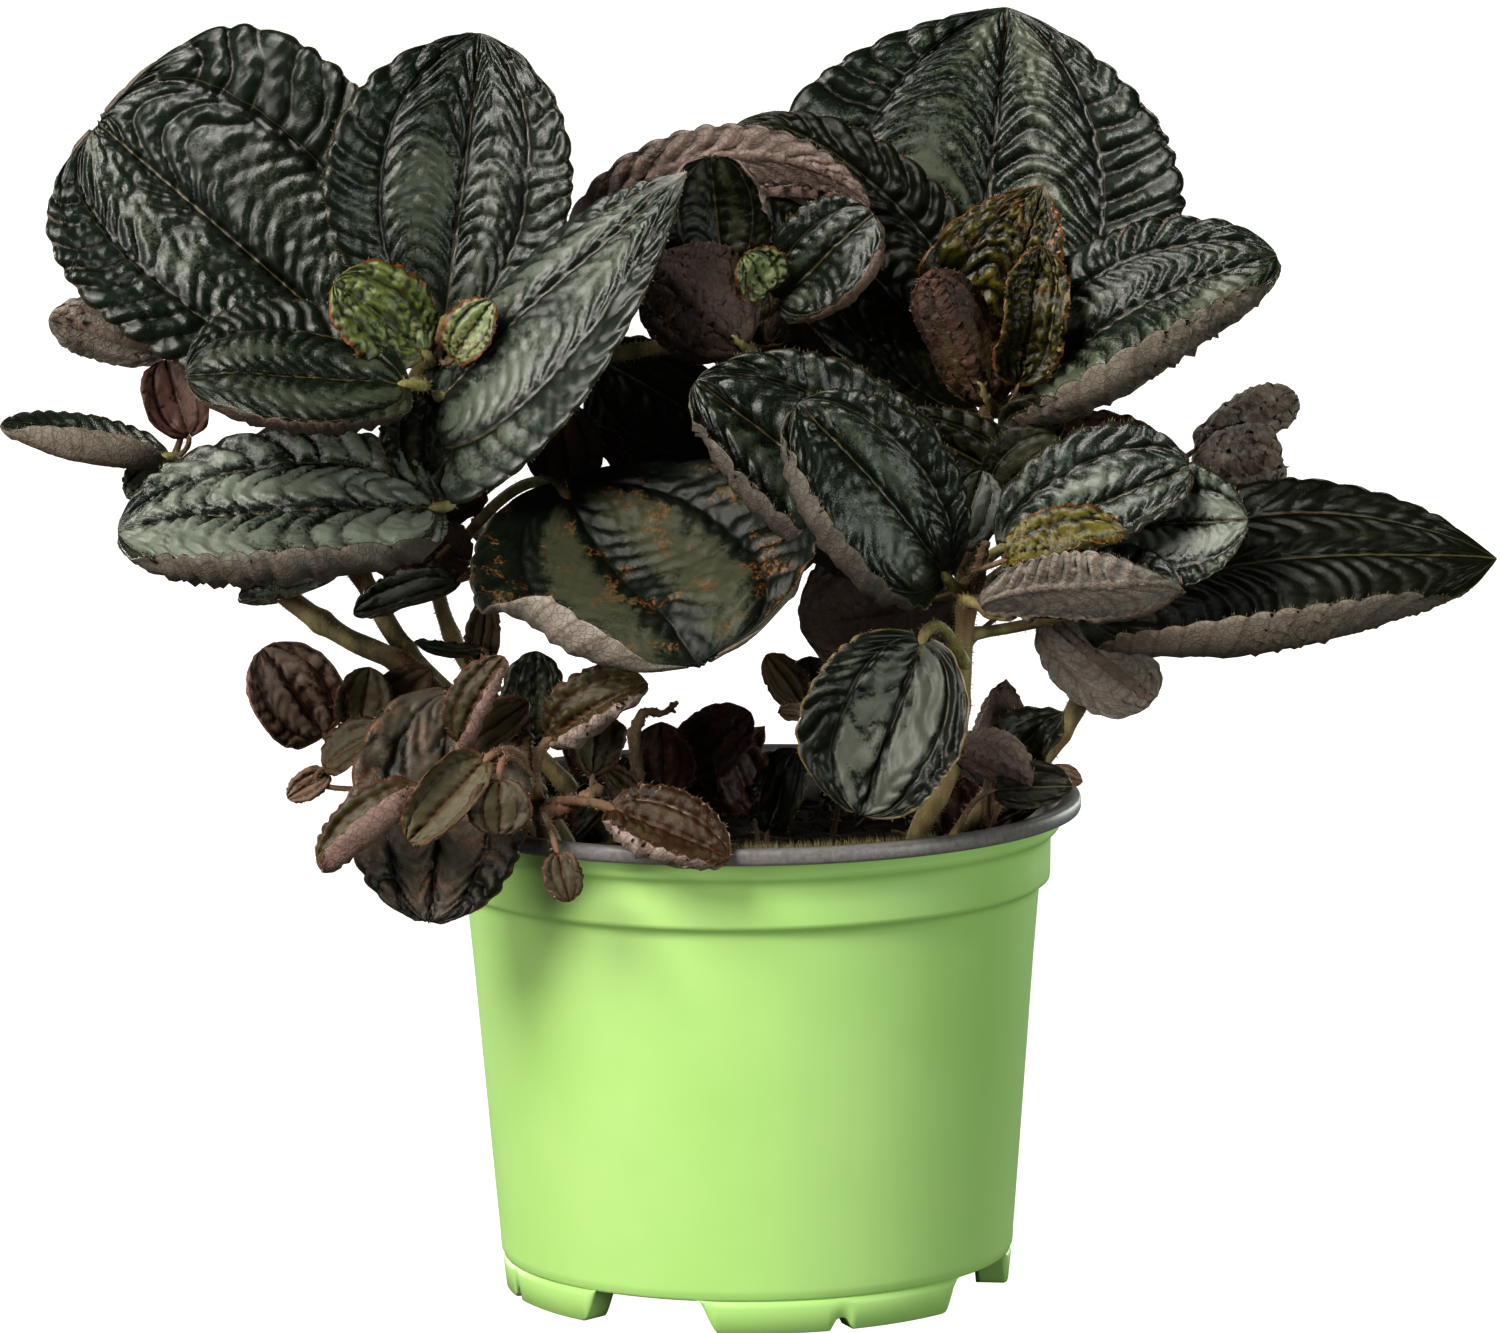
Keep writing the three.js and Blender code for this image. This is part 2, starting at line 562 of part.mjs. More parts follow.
// A closed sheet: an upper and a lower grid of points, joined all round their edge.
function blade(leaf, axes, mesh, growth) {
  const positions = [];
  const across = [...mesh.across.slice(1).reverse().map((v) => -v), ...mesh.across];
  const rows = mesh.lengthSteps + 1;
  const columns = across.length;
  const margin = Math.max(END_MARGIN - growth / axes.length, END_MARGIN / 10);
  for (const level of [1, -1]) {
    for (let row = 0; row < rows; row += 1) {
      const u = margin + (1 - 2 * margin) * (1 - Math.cos((Math.PI * row) / (rows - 1))) / 2;
      for (const v of across) {
        const offset = level * (BLADE_THICKNESS / 2 + growth);
        positions.push(...bladePoint(leaf, axes, u, v).addScaledVector(bladeNormal(leaf, axes, u, v), offset));
      }
    }
  }
  const at = (level, row, column) => (level * rows + row) * columns + column;
  const faces = [];
  const quad = (a, b, c, d) => faces.push(a, b, c, a, c, d);
  for (let row = 0; row < rows - 1; row += 1) {
    for (let column = 0; column < columns - 1; column += 1) {
      quad(at(0, row, column), at(0, row + 1, column), at(0, row + 1, column + 1), at(0, row, column + 1));
      quad(at(1, row, column), at(1, row, column + 1), at(1, row + 1, column + 1), at(1, row + 1, column));
    }
    quad(at(0, row, 0), at(1, row, 0), at(1, row + 1, 0), at(0, row + 1, 0));
    quad(at(0, row, columns - 1), at(0, row + 1, columns - 1), at(1, row + 1, columns - 1), at(1, row, columns - 1));
  }
  for (let column = 0; column < columns - 1; column += 1) {
    quad(at(0, 0, column), at(0, 0, column + 1), at(1, 0, column + 1), at(1, 0, column));
    quad(at(0, rows - 1, column), at(1, rows - 1, column), at(1, rows - 1, column + 1), at(0, rows - 1, column + 1));
  }
  const geometry = new THREE.BufferGeometry();
  geometry.setAttribute('position', new THREE.Float32BufferAttribute(positions, 3));
  geometry.setIndex(faces);
  return toSolid(geometry);
}

// The petiole leaves its stem, swings into line with the midrib and runs a little way under the blade.
function petiole(leaf, axes, radius, growth) {
  const from = new THREE.Vector3(...leaf.from);
  const bend = round(leaf.arch / 2);
  const heading = axes.along.clone().multiplyScalar(Math.cos(bend)).addScaledVector(axes.up, Math.sin(bend));
  const reach = axes.start.distanceTo(from);
  const swing = axes.start.clone().addScaledVector(heading, -0.45 * reach);
  const end = bladePoint(leaf, axes, 0.05, 0);
  const curve = new THREE.CurvePath();
  curve.add(new THREE.QuadraticBezierCurve3(from, swing, axes.start));
  curve.add(new THREE.LineCurve3(axes.start, end));
  return tube(curve.getPoints(3), radius, PETIOLE_SIDES, PETIOLE_STEPS, growth);
}

function leafSolid(description, growth) {
  const leaf = { ...LEAF_DEFAULTS, ...description };
  leaf.halves = leaf.halves.map((half) => half + growth);
  const axes = bladeAxes(leaf);
  const widest = Math.max(...description.halves);
  const mesh = widest < LARGE_LEAF ? SMALL_MESH : LARGE_MESH;
  const petioleRadius = widest < GROWN_LEAF ? THIN_PETIOLE : THICK_PETIOLE;
  return blade(leaf, axes, mesh, growth).add(petiole(leaf, axes, petioleRadius, growth));
}

// ---------------------------------------------------------------- assembly

const group = new THREE.Group();

function addPiece(name, solid, material) {
  const mesh = new THREE.Mesh(toGeometry(solid), material);
  mesh.name = name;
  group.add(mesh);
}

const potSolid = pot();
addPiece('pot', potSolid, materials.pot);

// Each later piece is kept clear of the grown shapes of those before it.
const grown = [];
for (const [name, description] of Object.entries(STEM_ROUTES)) {
  addPiece(name, clearOf(stem(description, 0), grown), materials.stem);
  grown.push(stem(description, GAP));
}
for (const [name, description] of Object.entries(LEAVES)) {
  addPiece(name, clearOf(leafSolid(description, 0), grown), materials[description.look]);
  grown.push(leafSolid(description, GAP));
}
addPiece('soil', soil(grown), materials.soil);

export default group;
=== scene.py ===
"""A friendship plant in its nursery pot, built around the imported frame.

Tables and shape code are in millimetres, +Z up, -Y the front, with the origin on the pot's axis at the
floor.
"""

import math

import bmesh
import bpy
import numpy as np
from mathutils import Matrix, Vector


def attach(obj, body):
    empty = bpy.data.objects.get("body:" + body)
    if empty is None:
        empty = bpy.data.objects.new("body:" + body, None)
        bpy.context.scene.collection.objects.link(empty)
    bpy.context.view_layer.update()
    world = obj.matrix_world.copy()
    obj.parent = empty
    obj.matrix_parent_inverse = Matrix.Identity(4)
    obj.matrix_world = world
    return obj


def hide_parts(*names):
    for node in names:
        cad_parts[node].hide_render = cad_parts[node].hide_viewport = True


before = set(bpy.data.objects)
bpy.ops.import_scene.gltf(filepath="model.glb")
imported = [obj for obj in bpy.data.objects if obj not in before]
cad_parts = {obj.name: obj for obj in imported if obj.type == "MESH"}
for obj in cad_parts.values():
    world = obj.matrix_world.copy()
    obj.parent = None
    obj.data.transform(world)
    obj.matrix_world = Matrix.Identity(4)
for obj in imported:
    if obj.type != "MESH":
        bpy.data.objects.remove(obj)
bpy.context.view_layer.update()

MM = 0.001
BODY = "root"

# ---------------------------------------------------------------- camera

CAMERA_PLACE = (0.0, -1.4726, 0.3332)
CAMERA_PITCH = 81.52  # degrees from looking straight down
CAMERA_ROLL = -0.71
CAMERA_LENS = 196.5
SENSOR_WIDTH = 36.0


def make_camera():
    data = bpy.data.cameras.new("camera")
    data.lens = CAMERA_LENS
    data.sensor_width = SENSOR_WIDTH
    data.sensor_fit = "HORIZONTAL"
    camera = bpy.data.objects.new("camera", data)
    bpy.context.scene.collection.objects.link(camera)
    tilt = Matrix.Rotation(math.radians(CAMERA_PITCH), 4, "X")
    roll = Matrix.Rotation(math.radians(CAMERA_ROLL), 4, "Z")
    camera.matrix_world = Matrix.Translation(CAMERA_PLACE) @ tilt @ roll
    bpy.context.scene.camera = camera


# ---------------------------------------------------------------- meshes

BAKE_MAP = "OFBake"
UPPER_TILE = (0.01, 0.01, 0.49, 0.74)  # places in the bake map: left, bottom, right, top
LOWER_TILE = (0.51, 0.01, 0.99, 0.74)
EDGE_TILE = (0.01, 0.76, 0.99, 0.80)
TUBE_TILE = (0.01, 0.82, 0.60, 0.99)
END_TILE = (0.62, 0.82, 0.80, 0.99)
WHOLE_TILE = (0.01, 0.01, 0.99, 0.99)


def grid_faces(rows, columns, around=False):
    """Quads of a grid of points, and where each corner lies across the grid, from 0 to 1."""
    last = columns if around else columns - 1
    row, column = np.meshgrid(np.arange(rows - 1), np.arange(last), indexing="ij")
    row = row.ravel()
    column = column.ravel()
    corners = [(row, column), (row, column + 1), (row + 1, column + 1), (row + 1, column)]
    faces = np.stack([r * columns + c % columns for r, c in corners], axis=1)
    places = np.stack([np.stack([c / last, r / (rows - 1)], axis=1) for r, c in corners], axis=1)
    return faces, places


def in_tile(places, tile):
    left, bottom, right, top = tile
    return places * (right - left, top - bottom) + (left, bottom)


class Shape:
    """Collects the points and faces of one piece."""

    def __init__(self):
        self.points = []
        self.veins = []
        self.tone = []
        self.faces = []
        self.places = []
        self.materials = []
        self.count = 0

    def add_points(self, points, veins=None, tone=None):
        """Adds points and returns the number of the first one."""
        first = self.count
        points = np.asarray(points, float).reshape(-1, 3)
        blank = np.zeros_like(points)
        self.points.append(points)
        self.veins.append(blank if veins is None else veins.reshape(-1, 3))
        self.tone.append(blank if tone is None else tone.reshape(-1, 3))
        self.count += len(points)
        return first

    def add_faces(self, faces, places, tile, material=0):
        """Adds faces, each corner of which has its place in the tile."""
        self.faces.append(faces)
        self.places.append(in_tile(places, tile))
        self.materials.append(np.full(len(faces), material))

    def add_end(self, ring, middle, tile, material=0, flip=False):
        """Closes a ring of points with a fan round its middle point."""
        after = np.roll(ring, -1)
        pair = (after, ring) if flip else (ring, after)
        faces = np.stack([pair[0], pair[1], np.full(len(ring), middle)], axis=1)
        turn = 2 * np.pi * np.arange(len(ring) + 1) / len(ring)
        rim = 0.5 + 0.5 * np.stack([np.cos(turn), np.sin(turn)], axis=1)
        places = np.stack([rim[:-1], rim[1:], np.full((len(ring), 2), 0.5)], axis=1)
        self.add_faces(faces, places, tile, material)

    def finish(self, name, materials, slot, nodes=()):
        """Makes the piece, puts it on the body and hides the imported parts of the nodes it stands for."""
        mesh = bpy.data.meshes.new(name)
        points = np.concatenate(self.points) * MM
        corners = np.concatenate([faces.ravel() for faces in self.faces])
        sizes = np.concatenate([np.full(len(faces), faces.shape[1]) for faces in self.faces])
        starts = np.concatenate([[0], np.cumsum(sizes)[:-1]])
        mesh.vertices.add(len(points))
        mesh.vertices.foreach_set("co", points.astype(np.float32).ravel())
        mesh.loops.add(len(corners))
        mesh.loops.foreach_set("vertex_index", corners.astype(np.int32))
        mesh.polygons.add(len(sizes))
        mesh.polygons.foreach_set("loop_start", starts.astype(np.int32))
        mesh.polygons.foreach_set("material_index", np.concatenate(self.materials).astype(np.int32))
        mesh.update(calc_edges=True)
        uv = mesh.uv_layers.new(name=BAKE_MAP)
        places = np.concatenate([places.reshape(-1, 2) for places in self.places])
        uv.uv.foreach_set("vector", places.astype(np.float32).ravel())
        for label, values in (("veins", self.veins), ("tone", self.tone)):
            attribute = mesh.attributes.new(label, "FLOAT_VECTOR", "POINT")
            attribute.data.foreach_set("vector", np.concatenate(values).astype(np.float32).ravel())
        mesh.polygons.foreach_set("use_smooth", np.ones(len(sizes), bool))
        mesh.validate()
        for material in materials:
            mesh.materials.append(material)
        piece = bpy.data.objects.new(name, mesh)
        bpy.context.scene.collection.objects.link(piece)
        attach(piece, BODY)
        if nodes:
            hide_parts(*nodes)
        return piece


def unit(vector):
    vector = np.asarray(vector, float)
    return vector / np.linalg.norm(vector, axis=-1, keepdims=True)


def smooth_step(value, low, high):
    """0 below low, 1 above high and an even ease between them."""
    t = np.clip((value - low) / (high - low), 0, 1)
    return t * t * (3 - 2 * t)


def ripple(draw, x, y, scale, waves=6):
    """Smooth random relief, mostly between -1 and 1."""
    total = 0
    for _ in range(waves):
        heading = draw.uniform(0, 2 * math.pi)
        rate = scale * draw.uniform(0.6, 1.6)
        start = draw.uniform(0, 2 * math.pi)
        total = total + np.sin(rate * (x * math.cos(heading) + y * math.sin(heading)) + start)
    return total / math.sqrt(waves)


# ---------------------------------------------------------------- tubes

def smooth_route(points, steps):
    """A curve through all the points, with about that many steps."""
    points = np.asarray(points, float)
    ends = np.vstack([2 * points[0] - points[1], points, 2 * points[-1] - points[-2]])
    lengths = np.linalg.norm(np.diff(points, axis=0), axis=1)
    counts = np.maximum(2, np.round(steps * lengths / lengths.sum()).astype(int))
    route = []
    for k, count in enumerate(counts):
        a, b, c, d = ends[k:k + 4]
        t = (np.arange(count) / count)[:, None]
        route.append(0.5 * (2 * b + (c - a) * t + (2 * a - 5 * b + 4 * c - d) * t ** 2
                            + (3 * b - a - 3 * c + d) * t ** 3))
    return np.vstack(route + [points[-1:]])


def tube_frames(route):
    """Two directions across the route at each of its points, turning as little as possible."""
    heading = unit(np.gradient(route, axis=0))
    side = np.cross(heading[0], (0.0, 0.0, 1.0))
    if np.linalg.norm(side) < 0.1:
        side = np.cross(heading[0], (1.0, 0.0, 0.0))
    sides = []
    for ahead in heading:
        side = side - ahead * (side @ ahead)
        side = side / np.linalg.norm(side)
        sides.append(side)
    sides = np.array(sides)
    return heading, sides, np.cross(heading, sides)


def add_tube(shape, route, radii, around, material=0, tile=TUBE_TILE):
    """A closed round tube along a route, its radius given at each point or at each point and angle."""
    heading, side, other = tube_frames(route)
    turn = 2 * np.pi * np.arange(around) / around
    radii = np.asarray(radii, float)
    if radii.ndim == 1:
        radii = np.repeat(radii[:, None], around, axis=1)
    wall = (route[:, None] + radii[..., None] * (side[:, None] * np.cos(turn)[None, :, None]
                                                 + other[:, None] * np.sin(turn)[None, :, None]))
    tone = np.zeros_like(wall)
    tone[..., 0] = np.linspace(0, 1, len(route))[:, None]
    first = shape.add_points(wall, tone=tone)
    faces, places = grid_faces(len(route), around, around=True)
    shape.add_faces(faces + first, places, tile, material)
    start = shape.add_points(route[0] - heading[0] * radii[0].mean() * 0.5)
    end = shape.add_points(route[-1] + heading[-1] * radii[-1].mean() * 0.5)
    shape.add_end(first + np.arange(around), start, END_TILE, material, flip=True)
    shape.add_end(first + (len(route) - 1) * around + np.arange(around), end, END_TILE, material)
    return wall


# ---------------------------------------------------------------- hairs

HAIR_RADIUS = 0.045


class Hairs:
    """Collects short tapering hairs for one piece."""

    def __init__(self):
        self.roots = []
        self.tips = []

    def add(self, roots, directions, lengths):
        roots = np.asarray(roots, float).reshape(-1, 3)
        directions = unit(np.asarray(directions, float).reshape(-1, 3))
        self.roots.append(roots)
        self.tips.append(roots + directions * np.asarray(lengths, float).reshape(-1, 1))

    def finish(self, name, material, slot):
        roots = np.concatenate(self.roots)
        tips = np.concatenate(self.tips)
        heading = unit(tips - roots)
        lean = np.where(np.abs(heading[:, 2:]) < 0.9, (0.0, 0.0, 1.0), (1.0, 0.0, 0.0))
        side = unit(np.cross(heading, lean))
        other = np.cross(heading, side)
        corners = []
        for turn in (0, 2 * math.pi / 3, 4 * math.pi / 3):
            corners.append(roots + HAIR_RADIUS * (side * math.cos(turn) + other * math.sin(turn)))
        points = np.stack(corners + [tips], axis=1)
        first = 4 * np.arange(len(roots))[:, None]
        faces = np.concatenate([first + corner for corner in ((0, 1, 3), (1, 2, 3), (2, 0, 3), (0, 2, 1))])
        shape = Shape()
        shape.add_points(points)
        cells = math.ceil(math.sqrt(len(faces)))
        cell = np.stack([np.arange(len(faces)) % cells, np.arange(len(faces)) // cells], axis=1)
        places = (cell[:, None] + np.array([(0.1, 0.1), (0.9, 0.1), (0.1, 0.9)])[None]) / cells
        shape.add_faces(faces, places, WHOLE_TILE)
        return shape.finish(name, [material], slot)


def add_fuzz(hairs, draw, wall, route, count, spread, lengths):
    """Hairs that stand out from random points of a tube's wall."""
    rows = draw.integers(0, len(wall), count)
    columns = draw.integers(0, wall.shape[1], count)
    roots = wall[rows, columns]
    outward = roots - route[rows] + draw.normal(0, spread, (count, 3))
    hairs.add(roots, outward, draw.uniform(*lengths, count))


# ---------------------------------------------------------------- leaves

# Each leaf is one blade and its petiole. stalk is where the petiole leaves its stem, root and tip are the
# ends of the midrib, and face points away from the blade's upper side. halves are the widths left and right
# of the midrib, seen from the face with the root at the bottom; a small leaf has one width for both
# together. skin names the finishes of the upper and the lower side.
#
# Angles are in degrees: arch bends the midrib lengthwise, fold and cup raise each half towards the face,
# and rim rolls its outer part further, from rim_start of the way across and, lengthwise, from rim_from of
# the way along. lobe draws the base of a half back past the root, and base and point shape the outline.
#
# A lateral vein runs up each half, lateral of the way across it. Cross veins make a ladder of rungs on both
# sides of that vein, and sway is how far they wander, in rungs. relief is the height of the quilts between
# the cross veins, or a pair of heights for the two halves, and plain_base is the share of the length over
# which they rise. calm is how smooth the middle of each inner lane is, and calm_width how broad that middle
# is. bubbles breaks the quilts of a young leaf into so many blisters across a lane, and then nothing is
# calm. waves is how wavy the whole blade is, and cell is the size of its grid's cells in mm.
#
# silver adds to the silver of the upper side. The pattern says where the silver lies: on the crests of
# quilts, or everywhere but in dark bands along the veins. band is how broad those bands are, outer how much
# duller the outer lanes are, and streaks how much the quilts show. petiole is the petiole's radius.
LEAF_DEFAULTS = dict(
    arch=20, fold=(8, 8), cup=(20, 20), rim=(0, 0), rim_start=0.72, rim_from=-1, lobe=(0.06, 0.06),
    base=0.5, point=0.6, lateral=0.6, sway=0.7, bubbles=0, silver=0.0, cell=0.46, calm=0.8,
    calm_width=0.24, plain_base=0.12, waves=0.026, pattern="quilts", streaks=0.4, outer=0.12, petiole=1.05,
    band=1.0,
)

SMALL_LEAF_DEFAULTS = dict(
    rungs=9, relief=0.45, pattern="bands", waves=0.06, cell=0.46, plain_base=0.05, petiole=0.5, streaks=1.2,
    band=0.4,
)


def grown_leaf(stalk, root, tip, face, halves, skin, rungs, relief, **others):
    """The description of a leaf whose two halves can differ."""
    return dict(
        stalk=stalk, root=root, tip=tip, face=face, halves=halves, skin=skin, rungs=rungs, relief=relief,
        **others,
    )


def small_leaf(stalk, root, tip, face, width, skin, **others):
    """The description of a leaf with equal halves."""
    return dict(stalk=stalk, root=root, tip=tip, face=face, width=width, skin=skin, **others)


LEAVES = {
    # left crown
    "left_crown_broad_leaf": grown_leaf(
        (-58, -7, 171), (-72, 2, 174), (-117, 12, 213), (0, -10, 2), (27, 36), ("silver", "tan"), 13, 1.4,
        arch=15, cup=(20, 15), point=0.38, calm=0.95, calm_width=0.33, silver=-0.3,
    ),
    "left_crown_upright_leaf": grown_leaf(
        (-56, -7, 173), (-54, -5, 179), (-47, 5, 229), (0, -10, 1), (25, 20), ("dark", "tan"), 13, 1.1,
        arch=25, cup=(15, 15), base=0.6, point=0.7, calm=0.35, plain_base=0.4,
    ),
    "left_crown_pointed_leaf": grown_leaf(
        (-56, -7, 170), (-54, -15, 166), (-10, -22, 206), (-4, -8, 4), (15, 25), ("sage", "tan"), 15, 0.8,
        arch=15, cup=(-80, 0), lobe=(0.05, 0.3), base=0.4, point=1, silver=0.08,
    ),
    "left_crown_front_leaf": grown_leaf(
        (-60, -6, 167), (-62, -25, 169), (-99, -34, 172), (0, -6, 8), (25, 17), ("dark", "brown"), 12, 0.6,
        arch=10, cup=(15, 10), rim=(60, 0), point=0.5,
    ),
    "left_crown_low_leaf": grown_leaf(
        (-66, -4, 153), (-57, -27, 147), (-112, -31, 144), (0, -6, 8), (35, 17), ("pale", "dun"), 12, 1.1,
        cup=(20, 10), rim=(110, 0), rim_start=0.74, silver=0.35, calm=0.4,
    ),
    "left_crown_young_leaf": grown_leaf(
        (-58, -7, 171), (-58, -17, 174), (-73, -21, 187), (0, -10, 5), (8, 9), ("young", "olive"), 8,
        0.9, cup=(10, 10), point=0.5, bubbles=2.5, waves=0.09,
    ),
    "left_crown_back_leaf": grown_leaf(
        (-58, -5, 172), (-62, 8, 172), (-88, 58, 180), (0, -3, 9), (20, 20), ("dark", "tan"), 12, 0.7,
        cell=0.8,
    ),
    # shoot at the far left
    "left_shoot_back_leaf": grown_leaf(
        (-104, 2, 153), (-106, 8, 172), (-126, 2, 179), (0, 10, 3), (6.5, 6.5), ("dark", "pale"), 8, 0.4,
        arch=10, cup=(10, 10),
    ),
    "left_shoot_silver_leaf": grown_leaf(
        (-104, 2, 151), (-106, -6, 154), (-134, -12, 161), (0, -4, 9), (13, 9), ("pale", "tan"), 10, 0.4,
        arch=-40, cup=(40, 30), rim=(110, 0), rim_start=0.4,
    ),
    "left_shoot_dark_leaf": grown_leaf(
        (-104, 1, 153), (-101, -3, 158), (-105, 1, 171), (0, -10, 2), (7, 7), ("maroon", "pink"), 7, 0.5,
        arch=10, cup=(50, 50), point=0.5,
    ),
    "left_stem_leaf": grown_leaf(
        (-87, -4, 131), (-85, -9, 132), (-73, -14, 135), (0, -7, 5), (6, 6), ("dark", "tan"), 7, 0.4,
        arch=30,
    ),
    "left_back_leaf": grown_leaf(
        (-71, -4, 141), (-78, 4, 140), (-98, 54, 142), (0, -5, 9), (17, 17), ("dark", "tan"), 12, 0.7,
        cell=0.8,
    ),
    # side shoot behind the left crown
    "side_shoot_round_leaf": grown_leaf(
        (-56, 6, 137), (-57, -7, 135), (-65, -9, 130), (0, -10, 4), (5.5, 5.5), ("maroon", "tan"), 6, 0.4,
        point=0.5,
    ),
    "side_shoot_hairy_leaf": grown_leaf(
        (-56, 6, 128), (-53, -16, 132), (-71, -19, 127), (0, -5, 8), (7, 6), ("dark", "tan"), 9, 0.4,
        arch=-20, cup=(60, 20),
    ),
    # back crown
    "back_crown_arched_leaf": grown_leaf(
        (-1, 5, 175), (-25, 10, 192), (23, 2, 197), (0, 8, 6), (9, 14), ("dark", "mauve"), 13, 0.8, arch=68,
        cup=(10, 10), lobe=(0.2, 0.2),
    ),
    "back_crown_cupped_leaf": grown_leaf(
        (-1, 4, 176), (-4, -2, 185), (-6, -4, 207), (0, -10, 2), (12, 11), ("cavern", "mauve"), 8, 0.5,
        arch=-20, cup=(30, 30), rim=(90, 90), rim_from=0.35, point=0.4,
    ),
    "back_crown_bronze_leaf": grown_leaf(
        (0, 4, 175), (6, -4, 181), (23, -10, 197), (0, -10, 5), (9, 15), ("dark", "pink"), 8, 0.6, arch=10,
        cup=(10, 20), rim=(0, 110), rim_start=0.66, point=0.45,
    ),
    "back_crown_curled_leaf": grown_leaf(
        (-1, 4, 173), (-1, -12, 174), (-16, -12, 189), (0, 10, 0), (14, 14), ("dark", "brown"), 10, 0.8,
        arch=-50, cup=(60, 60), point=0.5,
    ),
    "back_crown_hanging_leaf": grown_leaf(
        (-29, 9, 168), (-26, 16, 168), (-1, 18, 153), (0, -10, -1), (10, 15), ("cavern", "tan"), 9, 0.5,
        silver=-0.4,
    ),
    "back_crown_brown_leaf": grown_leaf(
        (0, 5, 174), (5, 12, 171), (24, 8, 180), (0, 10, -2), (8, 8), ("dark", "brown"), 8, 0.6,
    ),
    "back_crown_silver_leaf": grown_leaf(
        (0, 6, 174), (8, 30, 172), (26, 36, 158), (0, -10, 3), (10, 10), ("pale", "tan"), 9, 0.6,
    ),
    "back_crown_back_leaf": grown_leaf(
        (-1, 6, 174), (-6, 20, 178), (-18, 65, 184), (0, -3, 9), (19, 19), ("dark", "tan"), 12, 0.7,
        cell=0.8,
    ),
    # right crown, the highest one
    "right_crown_broad_leaf": grown_leaf(
        (45, 4, 161), (42, 22, 171), (49, 42, 230), (0, -10, 3), (43, 36), ("silver", "tan"), 15, 1.4,
        arch=15, cup=(15, 15), point=0.8, silver=0.18, calm=0.35,
    ),
    "right_crown_left_leaf": grown_leaf(
        (44, 4, 161), (41, 3, 162), (-1, 20, 211), (0, -8, 6), (19, 19), ("cavern", "pink"), 15, 0.9,
        cup=(20, 20), rim=(20, 0), silver=-0.4,
    ),
    "right_crown_front_leaf": grown_leaf(
        (46, 3, 161), (50, -4, 164), (95, -16, 189), (0, -7, 7), (15, 27), ("silver", "tan"), 14, 1.1,
        arch=50, cup=(10, 10), rim=(0, 130), rim_start=0.6,
    ),
    "right_crown_young_leaf": grown_leaf(
        (45, 3, 163), (45, -4, 169), (54, -3, 201), (-2, -10, 2), (17, 8), ("amber", "rose"), 10, 1.0,
        arch=10, cup=(15, 30), point=0.8, bubbles=3, waves=0.06,
    ),
    "right_crown_bud_leaf": grown_leaf(
        (46, 2, 163), (49, -12, 167), (53, -13, 191), (2, -10, 0), (7, 7), ("amber", "olive"), 9, 0.8,
        arch=10, cup=(50, 50), bubbles=2.5, waves=0.08, silver=-0.8,
    ),
    "right_crown_curled_leaf": grown_leaf(
        (45, 2, 161), (43, -12, 164), (33, -15, 187), (0, 10, 0), (9, 9), ("bronze", "ember"), 16, 0.8,
        arch=-20, cup=(60, 70),
    ),
    "right_crown_back_leaf": grown_leaf(
        (46, 4, 160), (54, 18, 161), (80, 60, 172), (0, -5, 9), (18, 18), ("dark", "tan"), 12, 0.7,
        cell=0.8,
    ),
    "right_shoot_upper_leaf": grown_leaf(
        (79, 8, 149), (83, 14, 151), (100, 10, 161), (0, 10, 2), (6.5, 5), ("dark", "pale"), 7, 1.1,
        arch=-30, cup=(60, 60), waves=0.1, point=0.45,
    ),
    "right_shoot_lower_leaf": grown_leaf(
        (78, 7, 147), (82, 6, 147), (97, 2, 150), (0, 10, 0), (8, 8), ("dark", "pale"), 6, 1.2,
        cup=(50, 50), waves=0.12, point=0.4,
    ),
    "right_shoot_back_leaf": grown_leaf(
        (75, 3, 141), (78, 12, 141), (90, 57, 138), (0, -3, 9), (16, 16), ("dark", "tan"), 12, 0.6,
        cell=0.8,
    ),
    # front crown, on the same stem
    "front_crown_wide_leaf": grown_leaf(
        (39, -26, 131), (33, -24, 134), (-9, -26, 169), (0, -9, 4), (18, 20), ("dark", "dun"), 11, 0.9,
        cup=(15, 15), rim=(135, 0), rim_start=0.66, calm=0.9, calm_width=0.3, silver=0.08,
    ),
    "front_crown_pointed_leaf": grown_leaf(
        (39, -27, 132), (34, -39, 136), (9, -46, 167), (3, -10, 3), (22, 13), ("dark", "dun"), 11, 0.9,
        arch=40, cup=(15, 10), rim=(135, 0), rim_start=0.66, point=0.55, calm=0.9, calm_width=0.3,
        silver=-0.08,
    ),
    "front_crown_right_leaf": grown_leaf(
        (40, -26, 132), (46, -35, 140), (78, -40, 154), (0, -9, 5), (13, 11), ("pale", "tan"), 9, 0.9,
        arch=15, cup=(15, 30), rim=(0, 60), point=0.45,
    ),
    "front_crown_cupped_leaf": grown_leaf(
        (40, -28, 129), (42, -43, 130), (76, -50, 134), (0, -2, 10), (14, 18), ("pale", "pale"), 10, 0.6,
        arch=-50, fold=(38, 40), cup=(20, 40), base=0.35, point=0.35,
    ),
    "front_crown_small_leaf": grown_leaf(
        (40, -25, 130), (65, -35, 143), (88, -43, 145), (-6, -9, 3), (11, 14), ("pale", "pale"), 10, 0.6,
        arch=10, cup=(15, 10), rim=(0, 60), silver=0.5,
    ),
    "front_crown_back_leaf": grown_leaf(
        (39, -24, 132), (30, -6, 140), (10, 40, 150), (0, -5, 9), (17, 17), ("dark", "tan"), 12, 0.6,
        cell=0.8,
    ),
    "far_right_leaf": grown_leaf(
        (39, -27, 123), (62, -20, 127), (133, -31, 136), (0, -6, 7), (17, 34), ("cavern", "tan"), 15, 0.65,
        arch=40, fold=(8, -12), cup=(5, 20), rim=(0, 125), rim_start=0.48, base=0.75, point=0.95,
